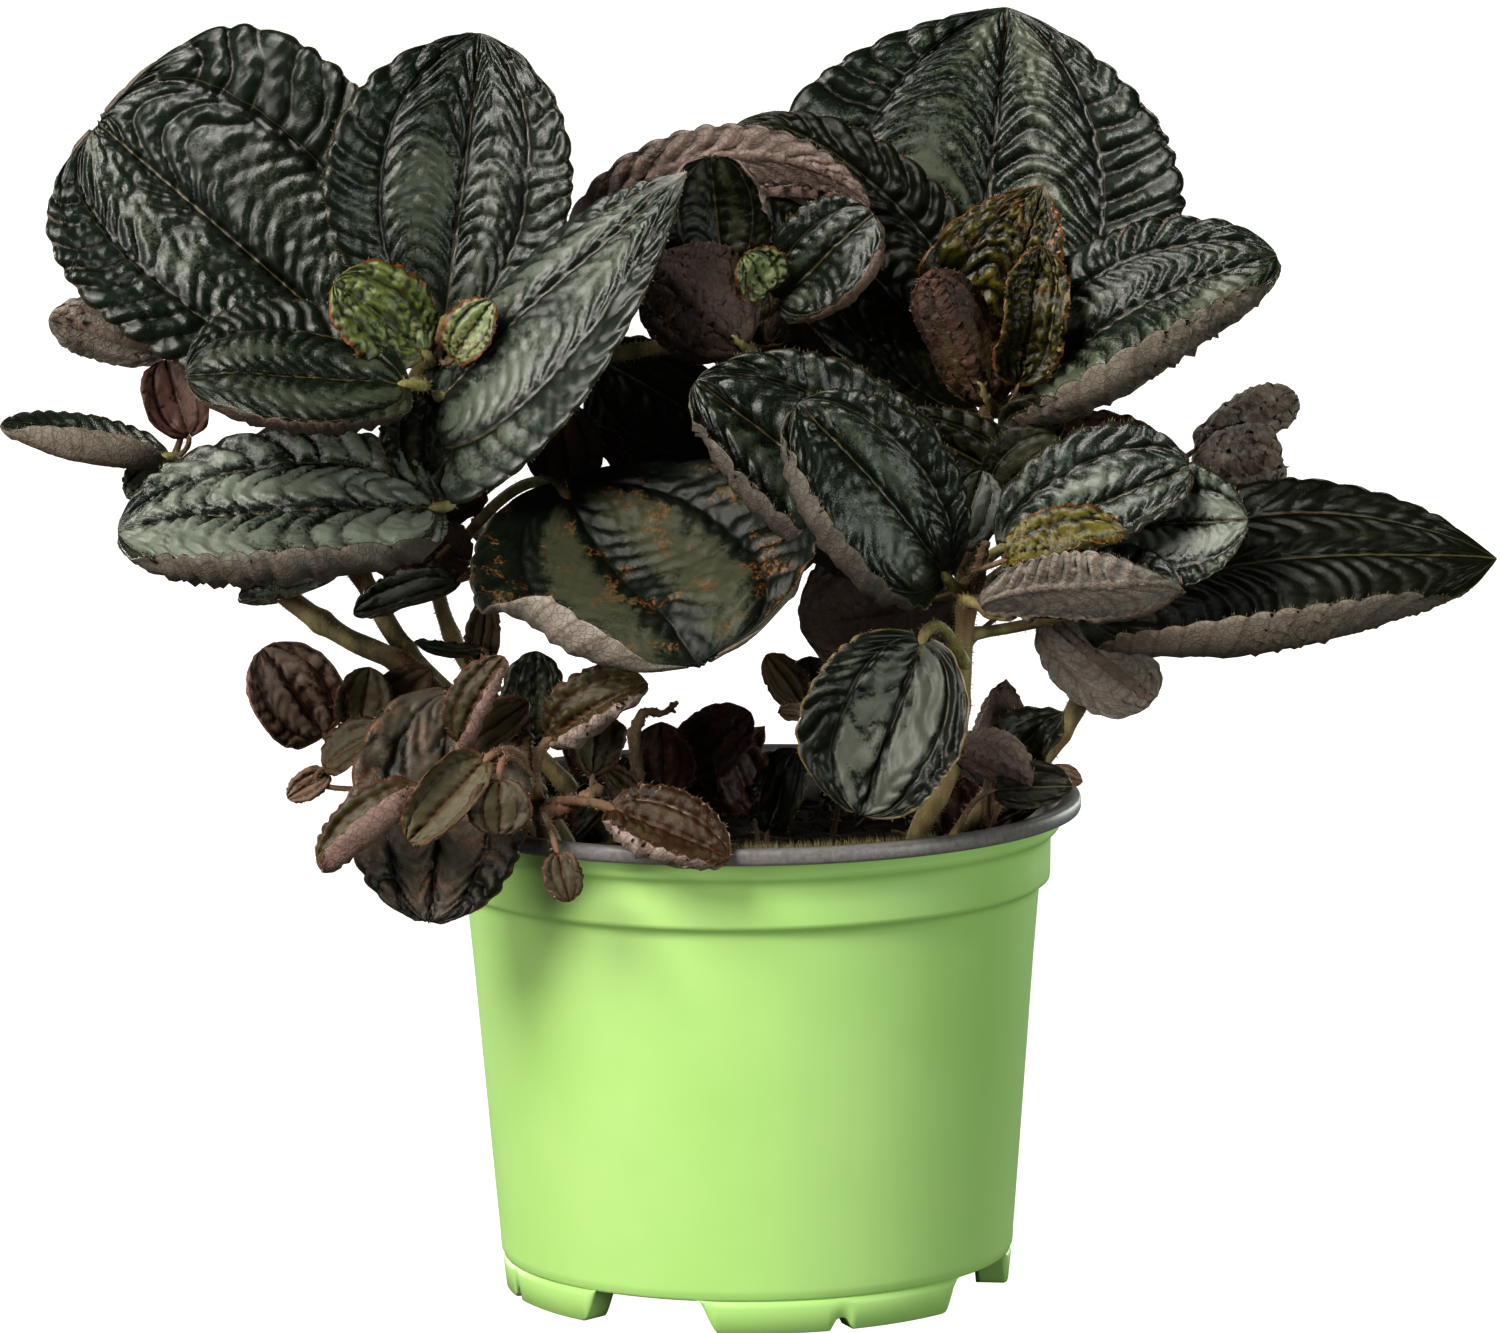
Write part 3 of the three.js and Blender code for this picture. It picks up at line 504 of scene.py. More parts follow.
        silver=-0.8, calm=0.6,
    ),
    "right_side_leaf": grown_leaf(
        (39, -27, 121), (54, -16, 124), (72, -24, 110), (0, 10, -4), (8.5, 8.5), ("dark", "pale"), 8, 0.4,
        point=0.5,
    ),
    "rim_leaf": grown_leaf(
        (38, -29, 118), (30, -46, 124), (19, -53, 95), (0, -10, 2), (15, 16), ("ripple", "tan"), 8, 0.8,
        arch=15, cup=(15, 15), rim=(60, 0), point=0.5, pattern="bands", streaks=1.5, calm=0.4, waves=0.11,
        outer=1.0, sway=1.2, silver=0.0,
    ),
    "centre_brown_leaf": grown_leaf(
        (39, -25, 128), (36, -14, 128), (9, -14, 124), (0, 10, -2), (14, 14), ("dark", "brown"), 10, 0.7,
        arch=10, cup=(10, 10),
    ),
    "centre_leaf": grown_leaf(
        (-56, 6, 131), (-32, -18, 147), (-9, -58, 123), (0, -5, 8), (35, 30), ("banded", "sand"), 11,
        (0.85, 0.5), arch=-10, cup=(5, 5), rim=(50, 130), rim_from=0.5, lobe=(0.1, 0.1), point=0.36,
        pattern="bands", rim_start=0.62, calm=1.0, calm_width=0.36, streaks=0.5, outer=0.55, waves=0.04,
    ),
    # tuft of small leaves over the front left of the rim
    "tuft_red_leaf": grown_leaf(
        (-39, -43, 103), (-77, -21, 106), (-87, -27, 122), (0, -10, 3), (9, 9), ("russet", "pink"), 8, 0.6,
        arch=10, cup=(40, 40), point=0.5, petiole=0.7, silver=0.5,
    ),
    "tuft_large_leaf": grown_leaf(
        (-40, -44, 105), (-53, -38, 114), (-57, -54, 77), (0, -10, 1), (16, 16), ("rusty", "tan"), 10, 1.0,
        cup=(10, 10), point=0.5, waves=0.05, silver=0.7, calm=0.3,
    ),
    "tuft_pink_leaf": grown_leaf(
        (-38, -42, 98), (-59, -57, 101), (-76, -60, 88), (-1, -8, 8), (10.5, 5), ("moss", "pink"), 10, 0.6,
        arch=35, rim=(150, 20), rim_start=0.3, petiole=0.8,
    ),
    "tuft_green_leaf": grown_leaf(
        (-39, -43, 101), (-47, -59, 106), (-60, -64, 93), (0, -10, 5), (6.5, 6.5), ("moss", "pink"), 11,
        0.65, cup=(30, 60), rim=(60, 40), petiole=0.8, silver=0.45,
    ),
    "tuft_upright_leaf": grown_leaf(
        (-40, -44, 104), (-51, -52, 109), (-43, -54, 124), (-5, -10, 2), (5, 7), ("olive", "pink"), 10, 0.6,
        arch=30, rim=(0, 150), rim_start=0.4, petiole=0.8, silver=-0.3,
    ),
    "tuft_olive_leaf": grown_leaf(
        (-38, -44, 97), (-35, -50, 109), (-18, -54, 119), (0, -9, 6), (6.5, 8), ("moss", "mauve"), 11, 0.8,
        arch=40, rim=(0, 140), rim_start=0.5, pattern="quilts", silver=-0.35, petiole=1.0,
    ),
    "tuft_rim_leaf": grown_leaf(
        (-38, -41, 95), (-24, -56, 97), (-4, -62, 89), (0, -8, 6), (7, 10.5), ("bronze", "mauve"), 12, 0.75,
        cup=(10, 20), rim=(0, 140), rim_start=0.65, petiole=0.95, silver=-0.1,
    ),
    # low leaves that rise from the soil
    "soil_maroon_leaf": grown_leaf(
        (-18, -21, 77), (-11, -20, 98), (0, -24, 109), (0, -10, 3), (6.5, 5.5), ("maroon", "brown"), 9, 0.5,
        arch=40, pattern="quilts", silver=-0.3,
    ),
    "soil_right_leaf": grown_leaf(
        (36, -31, 77), (44, -34, 96), (57, -38, 97), (0, -9, 5), (4.5, 4.5), ("cavern", "tan"), 6, 0.3,
        silver=-0.6,
    ),
}

SMALL_LEAVES = {
    "left_crown_inner_leaf": small_leaf(
        (-58, -8, 168), (-57, -13, 166), (-58, -23, 148), (2, -10, 4), 18, ("cavern", "tan"),
        pattern="quilts", relief=0.6,
    ),
    "left_crown_tiny_leaf": small_leaf(
        (-56, -10, 173), (-52, -18, 173), (-45, -20, 183), (-4, -10, 2), 9, ("young", "russet"),
        cup=(30, 30), relief=0.7, bubbles=2, waves=0.1,
    ),
    "left_shoot_front_leaf": small_leaf(
        (-103, 0, 152), (-105, -5, 151), (-112, -8, 147), (0, -6, 8), 9, ("dark", "pink"),
    ),
    "left_stem_cupped_leaf": small_leaf(
        (-84, -5, 129), (-85, -10, 129), (-92, -12, 129), (0, -4, 9), 9, ("dark", "tan"), arch=-40,
        cup=(50, 50),
    ),
    "side_shoot_low_leaf": small_leaf(
        (-56, 6, 139), (-48, -12, 148), (-56, -14, 143), (0, -10, 4), 7, ("maroon", "pink"),
    ),
    "side_shoot_purple_leaf": small_leaf(
        (-56, 6, 130), (-51, -2, 134), (-62, -4, 137), (0, 10, 3), 13, ("maroon", "brown"), point=0.5,
    ),
    "stem_foot_upright_leaf": small_leaf(
        (-51, -10, 110), (-49, -14, 116), (-47, -16, 129), (0, -10, 0), 6, ("bronze", "pink"),
    ),
    "stem_foot_curled_leaf": small_leaf(
        (-51, -12, 112), (-49, -18, 120), (-60, -20, 122), (0, -5, 9), 4, ("dark", "tan"), arch=-60,
    ),
    "back_crown_bud_leaf": small_leaf(
        (0, 3, 176), (4, -8, 183), (0, -10, 190), (0, -8, 6), 11, ("young", "olive"), relief=0.7,
        bubbles=2, waves=0.1,
    ),
    "back_crown_shaded_leaf": small_leaf(
        (-2, 6, 172), (1, 14, 164), (3, 16, 182), (0, -10, 0), 17, ("cavern", "brown"), silver=-0.5,
    ),
    "back_shoot_maroon_leaf": small_leaf(
        (-37, 8, 162), (-34, 0, 161), (-32, -2, 147), (0, -10, 0), 14, ("maroon", "brown"), point=0.5,
    ),
    "back_shoot_slim_leaf": small_leaf(
        (-34, 8, 163), (-27, 2, 157), (-21, 2, 149), (0, -10, 2), 4, ("maroon", "brown"),
    ),
    "right_crown_red_leaf": small_leaf(
        (42, -2, 155), (48, -8, 155), (73, -14, 157), (0, -6, 10), 10, ("maroon", "russet"), petiole=0.8,
    ),
    "front_crown_young_leaf": small_leaf(
        (40, -26, 134), (46, -45, 139), (66, -50, 144), (0, -6, 8), 13, ("amber", "olive"),
        cup=(40, 40), relief=0.8, bubbles=2.5, waves=0.1,
    ),
    "front_crown_upper_leaf": small_leaf(
        (41, -8, 148), (44, -16, 146), (56, -20, 157), (-3, -10, 3), 14, ("cavern", "tan"), point=0.5,
        silver=-0.3,
    ),
    "front_crown_bract": small_leaf(
        (39, -15, 146), (33, -20, 154), (29, -21, 162), (-1, 10, 0), 6, ("dry", "pink"), cup=(30, 30),
    ),
    # a dark leaf set in a shaded gap beside the stem: its dark, dull finish is painted shade
    "right_crown_shade_filler_leaf": small_leaf(
        (42, -4, 152), (50, -12, 147), (25, -10, 161), (0, -10, 3), 15, ("cavern", "tan"), point=0.9,
        silver=-0.5,
    ),
    "right_crown_stalked_leaf": small_leaf(
        (39, -10, 153), (46, -12, 157), (57, -14, 160), (0, -10, 3), 11, ("cavern", "tan"), petiole=1.01,
        silver=-0.4,
    ),
    "front_crown_bud_leaf": small_leaf(
        (39, -26, 133), (37, -26, 139), (42, -24, 152), (0, -10, 2), 12, ("dark", "tan"), point=0.5,
    ),
    "tuft_shaded_leaf": small_leaf(
        (-48, -30, 101), (-70, -22, 107), (-68, -24, 118), (0, -10, 2), 11, ("olive", "pink"), cup=(30, 30),
    ),
    "tuft_back_leaf": small_leaf(
        (-48, -30, 101), (-68, -18, 107), (-57, -22, 117), (0, -10, 5), 9, ("bronze", "pink"),
    ),
    "tuft_side_leaf": small_leaf(
        (-48, -32, 99), (-76, -28, 101), (-65, -30, 108), (0, -6, 6), 9, ("olive", "pink"),
    ),
    "tuft_dry_leaf": small_leaf(
        (-50, -30, 100), (-76, -26, 99), (-83, -28, 95), (0, -10, 3), 5, ("dry", "dry"),
    ),
    "tuft_striped_leaf": small_leaf(
        (-37, -42, 98), (-44, -62, 103), (-44, -64, 94), (0, -10, 2), 11, ("olive", "pink"), point=0.5,
        petiole=0.7,
    ),
    "tuft_small_leaf": small_leaf(
        (-41, -44, 99), (-50, -46, 107), (-39, -48, 115), (0, -10, 4), 8, ("bronze", "pink"),
    ),
    "tuft_round_leaf": small_leaf(
        (-28, -50, 98), (-28, -48, 102), (-27, -46, 112), (0, -10, 2), 11, ("olive", "russet"), point=0.4,
        base=0.8, silver=-0.4,
    ),
    "soil_left_leaf": small_leaf(
        (-19, -22, 78), (-16, -26, 95), (-16, -28, 108), (0, -10, 2), 11, ("maroon", "brown"), waves=0.12,
        relief=0.5, pattern="quilts",
    ),
    "tuft_hanging_leaf": small_leaf(
        (-37, -44, 94), (-34, -62, 90), (-32, -64, 82), (0, -10, 2), 6.5, ("olive", "tan"), petiole=0.6,
    ),
    "soil_centre_leaf": small_leaf(
        (1, -20, 79), (0, -20, 91), (-5, -22, 105), (4, -10, 2), 11, ("maroon", "brown"), waves=0.15,
        relief=0.6, point=0.8, pattern="quilts",
    ),
    "soil_low_leaf": small_leaf(
        (-18, -24, 79), (-20, -40, 96), (-26, -42, 102), (0, -10, 4), 5, ("bronze", "pink"),
    ),
    "tuft_tall_leaf": small_leaf(
        (-38, -40, 96), (-39, -34, 105), (-38, -34, 122), (0, -10, 2), 12, ("cavern", "tan"), relief=0.6,
        pattern="quilts",
    ),
    "soil_tall_leaf": small_leaf(
        (2, -20, 79), (3, -20, 87), (8, -22, 102), (-4, -10, 2), 11, ("cavern", "tan"), waves=0.15,
        relief=0.5, pattern="quilts",
    ),
    "centre_twin_left_leaf": small_leaf(
        (14, -4, 100), (9, -5, 108), (3, -8, 117), (0, -10, 2), 7, ("bronze", "brown"),
    ),
    "centre_twin_right_leaf": small_leaf(
        (14, -4, 100), (11, -3, 107), (11, -4, 116), (0, -10, 2), 10, ("dark", "brown"),
    ),
    "soil_brown_leaf": small_leaf(
        (36, -26, 80), (37, -33, 103), (50, -36, 97), (3, 10, 4), 12, ("bronze", "mauve"), point=0.6,
        cup=(50, 50),
    ),
    "soil_spiked_leaf": small_leaf(
        (42, -20, 80), (43, -21, 99), (46, -21, 114), (4, 10, 0), 10, ("cavern", "brown"), waves=0.2,
        relief=0.5, point=1, pattern="quilts",
    ),
    "soil_crumpled_leaf": small_leaf(
        (44, -26, 80), (46, -26, 100), (56, -28, 109), (-5, -10, 4), 12, ("cavern", "brown"), waves=0.25,
        relief=0.6, point=1, pattern="quilts",
    ),
    "soil_dry_leaf": small_leaf(
        (42, -24, 80), (51, -30, 97), (59, -32, 97), (0, -8, 8), 5, ("dry", "dry"), waves=0.2,
    ),
    "centre_dry_leaf": small_leaf(
        (14, -14, 82), (10, -16, 107), (5, -18, 108), (0, -8, 8), 4, ("dry", "dry"), waves=0.2,
    ),
    # large leaves at the back, behind the crowns
    "left_crown_far_leaf": small_leaf(
        (-57, -5, 172), (-54, 8, 174), (-27, 58, 175), (0, -4, 9), 34, ("dark", "tan"), rungs=12,
        relief=0.7, cell=0.9,
    ),
    "right_crown_far_leaf": small_leaf(
        (44, 4, 160), (44, 20, 163), (27, 62, 180), (0, -4, 9), 30, ("dark", "tan"), rungs=12, relief=0.7,
        cell=0.9,
    ),
    "left_stem_far_leaf": small_leaf(
        (-58, 4, 128), (-42, 10, 132), (-24, 60, 123), (0, -4, 9), 34, ("dark", "tan"), rungs=12,
        relief=0.7, cell=0.9,
    ),
    "right_stem_far_leaf": small_leaf(
        (67, -5, 126), (70, 4, 126), (98, 56, 126), (0, -4, 9), 34, ("dark", "tan"), rungs=12, relief=0.7,
        cell=0.9,
    ),
}

GROWN_LEAF = 9  # a leaf whose wider half is narrower than this is a small one
SECTION_STEPS = 24  # of one half's section
RIM_GROWTH = 0.2  # the share of the length over which a rim comes up
TIP_MARGIN = 0.0006  # the share of the length that is left out at either end
LEAST_ROWS = 20  # of a blade's grid, lengthwise
MOST_ROWS = 146
LEAST_COLUMNS = 8  # of one half
MOST_COLUMNS = 54
CELL_STRETCH = 1.1  # of a cell's width over its length


def leaf_details(description):
    """The description with its defaults filled in."""
    details = dict(LEAF_DEFAULTS)
    if "width" in description or max(description["halves"]) < GROWN_LEAF:
        details.update(SMALL_LEAF_DEFAULTS)
    details.update(description)
    if not isinstance(details["relief"], tuple):
        details["relief"] = (details["relief"], details["relief"])
    if "width" in details:
        details["halves"] = (details["width"] / 2, details["width"] / 2)
    if details["bubbles"]:
        details["calm"] = 0
    return details


def blade_axes(leaf):
    """The midrib's chord, the way the blade's face looks, and the side that is right seen from the face."""
    root = np.array(leaf["root"], float)
    along = np.array(leaf["tip"], float) - root
    length = np.linalg.norm(along)
    along = along / length
    up = np.array(leaf["face"], float)
    up = unit(up - along * (up @ along))
    return root, length, along, up, np.cross(along, up)


def outline(leaf, u):
    """How wide the blade is at u, from 0 at the root to 1 at the tip; 1 at its widest place."""
    base = leaf["base"]
    point = leaf["point"]
    widest = base / (base + point)
    return u ** base * (1 - u) ** point / (widest ** base * (1 - widest) ** point)


def half_section(leaf, side, u, away):
    """How far out and how far up the points of one half are, for each u and each distance away."""
    t = (np.arange(SECTION_STEPS) + 0.5) / SECTION_STEPS
    breadth = outline(leaf, u)[:, None]
    rolled = np.clip((t - leaf["rim_start"]) / (1 - leaf["rim_start"]), 0, None)
    growth = np.clip((u[:, None] - leaf["rim_from"]) / RIM_GROWTH, 0, 1)
    rim = leaf["rim"][side] * np.minimum(1, 1.5 * breadth) * growth
    slope = np.radians(leaf["fold"][side] + leaf["cup"][side] * t * breadth + rim * rolled)
    reach = leaf["halves"][side] * breadth / SECTION_STEPS
    out = np.pad(np.cumsum(reach * np.cos(slope), axis=1), ((0, 0), (1, 0)))
    up = np.pad(np.cumsum(reach * np.sin(slope), axis=1), ((0, 0), (1, 0)))
    place = away * SECTION_STEPS
    low = np.minimum(place.astype(int), SECTION_STEPS - 1)
    part = place - low
    return [line[:, low] * (1 - part) + line[:, low + 1] * part for line in (out, up)]


def blade_surface(leaf, u, v):
    """The blade's middle surface at every u and v. v is -1 at the left edge and 1 at the right one."""
    root, length, along, up, right = blade_axes(leaf)
    bend = math.radians(leaf["arch"])
    bend_radius = length / (2 * math.sin(bend / 2))
    parts = []
    for side, chosen in ((0, v < 0), (1, v >= 0)):
        away = np.abs(v[chosen])
        out, lift = half_section(leaf, side, u, away)
        drawn_back = leaf["lobe"][side] * away[None] ** 1.5 * (1 - u[:, None]) ** 3
        turn = -bend / 2 + bend * (u[:, None] - drawn_back)
        forward = bend_radius * (np.sin(turn) + math.sin(bend / 2)) + lift * np.sin(turn)
        height = bend_radius * (np.cos(turn) - math.cos(bend / 2)) + lift * np.cos(turn)
        shift = -out if side == 0 else out
        parts.append(root + forward[..., None] * along + height[..., None] * up + shift[..., None] * right)
    return np.concatenate(parts, axis=1)


def surface_normals(points):
    """Unit directions out of the face of a grid that runs root to tip and left to right."""
    lengthwise = np.gradient(points, axis=0)
    crosswise = np.gradient(points, axis=1)
    return unit(np.cross(crosswise, lengthwise) + 1e-12)


def even_count(wanted, least, most):
    return 2 * int(np.clip(wanted, least, most) / 2)


def blade_grid(leaf, length):
    """The u of each row of the blade's grid, closer together at both ends, and the v of each column."""
    rows = even_count(length / leaf["cell"], LEAST_ROWS, MOST_ROWS) + 1
    t = np.linspace(0, 1, rows)
    u = 0.45 * t + 0.55 * (1 - np.cos(np.pi * t)) / 2
    u = TIP_MARGIN + (1 - 2 * TIP_MARGIN) * u
    width = leaf["cell"] * CELL_STRETCH
    left, right = [even_count(half / width, LEAST_COLUMNS, MOST_COLUMNS) for half in leaf["halves"]]
    return u, np.concatenate([-np.linspace(1, 0, left + 1)[:-1], np.linspace(0, 1, right + 1)])


def wander(draw, u, v, lengthwise, crosswise, waves=6):
    """Random relief over a blade, with those many radians along it and across each half of it."""
    return ripple(draw, u[:, None] * lengthwise, v[None] * crosswise, 1.0, waves)


def quarter_round(share):
    """Rises from 0 to 1 like a quarter of a circle."""
    return np.sqrt(1 - (1 - np.clip(share, 0, 1)) ** 2)


def bell(value, middle, width):
    return np.exp(-((value - middle) / width) ** 2)


INNER_BOW = 0.12  # how far cross veins bow between midrib and lateral vein, as a share of the length
OUTER_SWEEP = 0.1  # how far they sweep from the lateral vein to the edge
OUTER_OFFSET = 0.4  # by how much of a rung the outer lane is out of step with the inner one
LEFT_OFFSET = 0.37  # and the left half with the right one
FINE_SWAY = 0.16  # of the cross veins, in rungs
LATERAL_SWAY = 0.03  # of the lateral veins, as a share of a half's width


def vein_lanes(leaf, draw, u, v):
    """Where each point is between the veins.

    Gives whether it is in the inner lane, how far across its lane it is, its place on the ladder of cross
    veins, and a number for each quilt.
    """
    away = np.abs(v)[None]
    left = (v < 0)[None]
    lateral = leaf["lateral"] + LATERAL_SWAY * ripple(draw, u[:, None] * 5, 0.0, 1.0)
    inner = away < lateral
    across = np.where(inner, away / lateral, (away - lateral) / (1 - lateral))
    inner_bow = INNER_BOW * (1 - (2 * across - 1) ** 2)
    outer_sweep = OUTER_SWEEP * across ** 1.5
    sway = leaf["sway"] * wander(draw, u, v, 6, 2.5)
    sway = sway + FINE_SWAY * wander(draw, u, v, 24, 11)
    ladder = leaf["rungs"] * (u[:, None] - np.where(inner, inner_bow, outer_sweep)) + sway
    ladder = ladder + np.where(inner, 0, OUTER_OFFSET) + np.where(left, LEFT_OFFSET, 0)
    rung = np.round(ladder) + 17 * inner + 31 * left
    return inner, across, ladder, rung


ROUND_PILLOW = 0.7  # below 1 the quilts are fuller than a parabola
PILLOW_END = 0.2  # how much of a lane's width a quilt takes to rise at its ends
OUTER_PILLOW_END = 0.3
EDGE_HEIGHT = 0.45  # of a quilt where it meets the blade's edge
SIDE_FOLD_DEPTH = 0.3  # of the short folds beside the midrib
SIDE_FOLD_PLACE = 0.22
SIDE_FOLD_WIDTH = 0.12
WRINKLE_DEPTH = 0.12
PUCKER_DEPTH = 0.07
PUCKER_RATE = 1.9  # radians a millimetre
BUBBLE_DEPTH = 0.55  # of the lengthwise grooves that break the quilts of young leaves into blisters


def quilting(leaf, draw, u, v, length, lanes):
    """The quilts' height from 0 to 1, how calm each point is, and how near a cross vein, up to 1 on it."""
    inner, across, ladder, rung = lanes
    groove = np.abs(2 * (ladder % 1) - 1)
    strength = 0.78 + 0.22 * np.sin(rung * 12.99 + draw.uniform(0, 6))
    pillow = (1 - groove ** 2) ** ROUND_PILLOW
    calm = bell(across, 0.5, leaf["calm_width"]) * inner
    calm = calm * (0.8 + 0.35 * wander(draw, u, v, 9, 5)).clip(0, 1)
    broken = (0.95 + 0.35 * wander(draw, u, v, 15, 8)).clip(0.3, 1)
    depth = strength * broken * (1 - leaf["calm"] * calm)
    inner_ends = quarter_round(across / PILLOW_END) * quarter_round((1 - across) / PILLOW_END)
    edge_end = EDGE_HEIGHT + (1 - EDGE_HEIGHT) * quarter_round((1 - across) / PILLOW_END)
    outer_ends = quarter_round(across / OUTER_PILLOW_END) * edge_end
    height = np.where(inner, inner_ends, outer_ends) * (1 - depth * (1 - pillow))
    fold = 1 - np.abs(2 * ((2 * ladder + 0.5) % 1) - 1)
    beside = bell(across, SIDE_FOLD_PLACE, SIDE_FOLD_WIDTH) * smooth_step(np.sin(rung * 5.3), -0.4, 0.4)
    height = height + SIDE_FOLD_DEPTH * (fold ** 1.5 - 0.5) * beside * inner * pillow
    height = height + WRINKLE_DEPTH * wander(draw, u, v, 38, 22, 8) * pillow
    puckers = ripple(draw, u[:, None] * length, v[None] * max(leaf["halves"]), PUCKER_RATE, 10)
    height = height + PUCKER_DEPTH * puckers
    if leaf["bubbles"]:
        cross = np.abs(2 * ((across * leaf["bubbles"] + 0.5 * np.round(ladder)) % 1) - 1)
        height = height * (1 - BUBBLE_DEPTH * cross ** 3)
    return height, calm, groove


MIDRIB_BAND = 0.12  # half-width of the dark band along the midrib, as a share of the wider half
LATERAL_BAND = 0.085


def silvering(leaf, draw, u, v, height, calm, inner, from_midrib, from_lateral, from_edge):
    """How much silver there is at each point: about 0 for none and 1 for full."""
    along = u[:, None]
    widest = max(leaf["halves"])
    cloud = wander(draw, u, v, 9, 5)
    if leaf["pattern"] == "bands":
        band_width = leaf["band"] * widest
        midrib_band = bell(from_midrib, 0, MIDRIB_BAND * band_width * (0.6 + 0.8 * along))
        lateral_band = bell(from_lateral, 0, LATERAL_BAND * band_width)
        silver = 1.0 - np.maximum(midrib_band, lateral_band) - leaf["outer"] * ~inner
        silver = silver + leaf["streaks"] * (height - 0.6) + 0.16 * cloud + leaf["silver"]
    else:
        near_vein = np.minimum(np.abs(from_midrib), np.abs(from_lateral))
        silver = 0.2 + 0.4 * calm + 0.75 * (height - 0.55) + 0.26 * cloud + leaf["silver"]
        silver = silver - 0.35 * (1 - smooth_step(near_vein, 0.2, 2.6))
        silver = silver + 0.25 * (1 - smooth_step(along, 0.03, 0.3))
    return silver - 0.35 * (1 - smooth_step(from_edge, 0.02 * widest, 0.14 * widest))


BLADE_THICKNESS = 0.5
EDGE_THICKNESS = 0.16
EDGE_WIDTH = 1.2  # over which the blade thins out to its edge
INLAND_WIDTH = 2.5  # over which the lower face comes to follow the quilts
BARE_ROOT = 0.004  # the share of the length where the petiole's end leaves no rim
RELIEF_SCALE = 1.8  # mm from groove to crest where a leaf's relief is 1
MIDRIB_SIZE = (0.9, 0.7)  # height and half-width of the ridge under the midrib at the root
LATERAL_SIZE = (0.35, 0.45)
FULL_LENGTH = 45  # a shorter blade has lower ridges
SEEN_FROM_BELOW = 0.3  # a face that looks forward less than this has its lower side in full detail


def add_blade(shape, hairs, leaf, draw):
    """A quilted upper face, a lower face with raised veins, and a thin scalloped edge between them."""
    _, length, _, facing, _ = blade_axes(leaf)
    u, v = blade_grid(leaf, length)
    along = u[:, None]
    away = np.abs(v)[None]
    middle = blade_surface(leaf, u, v)
    normals = surface_normals(middle)
    lanes = vein_lanes(leaf, draw, u, v)
    inner, _, ladder, _ = lanes
    height, calm, groove = quilting(leaf, draw, u, v, length, lanes)
    half = np.where(v < 0, *leaf["halves"])[None] * outline(leaf, u)[:, None]
    from_midrib = v[None] * half
    from_lateral = (away - leaf["lateral"]) * half
    from_edge = (1 - away) * half + 3 * np.clip(BARE_ROOT - along, 0, 1) * length
    widest = max(leaf["halves"])
    # The relief fades out at the base, where the blade is narrow, and towards the tip.
    settle = smooth_step(along, 0.0, leaf["plain_base"]) * smooth_step(half, 0.04 * widest, 0.25 * widest)
    settle = settle * (1 - 0.6 * smooth_step(along, 0.86, 1.0))
    wave = leaf["waves"] * widest * wander(draw, u, v, 7, 3) * settle
    wave = wave * (1 - smooth_step(along, 0.7, 1.0))
    relief = RELIEF_SCALE * np.where(v < 0, *leaf["relief"])[None]
    lift = relief * (height - 0.5) * settle
    crown = 1 - groove ** 2
    scallop = (0.2 + 0.45 * relief) * crown * away ** 8 * settle
    outward = np.gradient(middle, axis=1)
    outward = unit(outward + 1e-12) * np.sign(v)[None, :, None]
    upper = middle + normals * (lift + wave)[..., None] + outward * scallop[..., None]
    normals = surface_normals(upper)
    ridge = MIDRIB_SIZE[0] * bell(from_midrib, 0, MIDRIB_SIZE[1])
    ridge = ridge + LATERAL_SIZE[0] * bell(from_lateral, 0, LATERAL_SIZE[1])
    ridge = ridge * (1 - 0.8 * along) * min(1.0, length / FULL_LENGTH)
    body = EDGE_THICKNESS + (BLADE_THICKNESS - EDGE_THICKNESS) * smooth_step(from_edge, 0, EDGE_WIDTH)
    inland = smooth_step(from_edge, 0, INLAND_WIDTH)
    filling = inland * (np.where(inner, 0.45, 0.0) * lift + 0.28 * relief)
    lower = upper - normals * (body + ridge + filling)[..., None]
    silver = silvering(leaf, draw, u, v, height, calm, inner, from_midrib, from_lateral, from_edge)
    veins = np.stack(np.broadcast_arrays(from_midrib, from_lateral, ladder), axis=-1)
    tone = np.stack(np.broadcast_arrays(height, silver, from_edge), axis=-1)
    step = 2 if -facing[1] > SEEN_FROM_BELOW else 1
    add_faces_of_blade(shape, upper, lower, veins, tone, step)
    add_fringe(hairs, draw, upper, outward, length)
    midrib = np.searchsorted(v, 0)
    return lower[:, midrib], normals[:, midrib], u


def grid_border(rows, columns):
    """The numbers of a grid's outer points, in order round it."""
    number = np.arange(rows * columns).reshape(rows, columns)
    return np.concatenate([number[:, 0][::-1], number[0, 1:], number[1:, -1], number[-1, 1:-1][::-1]])


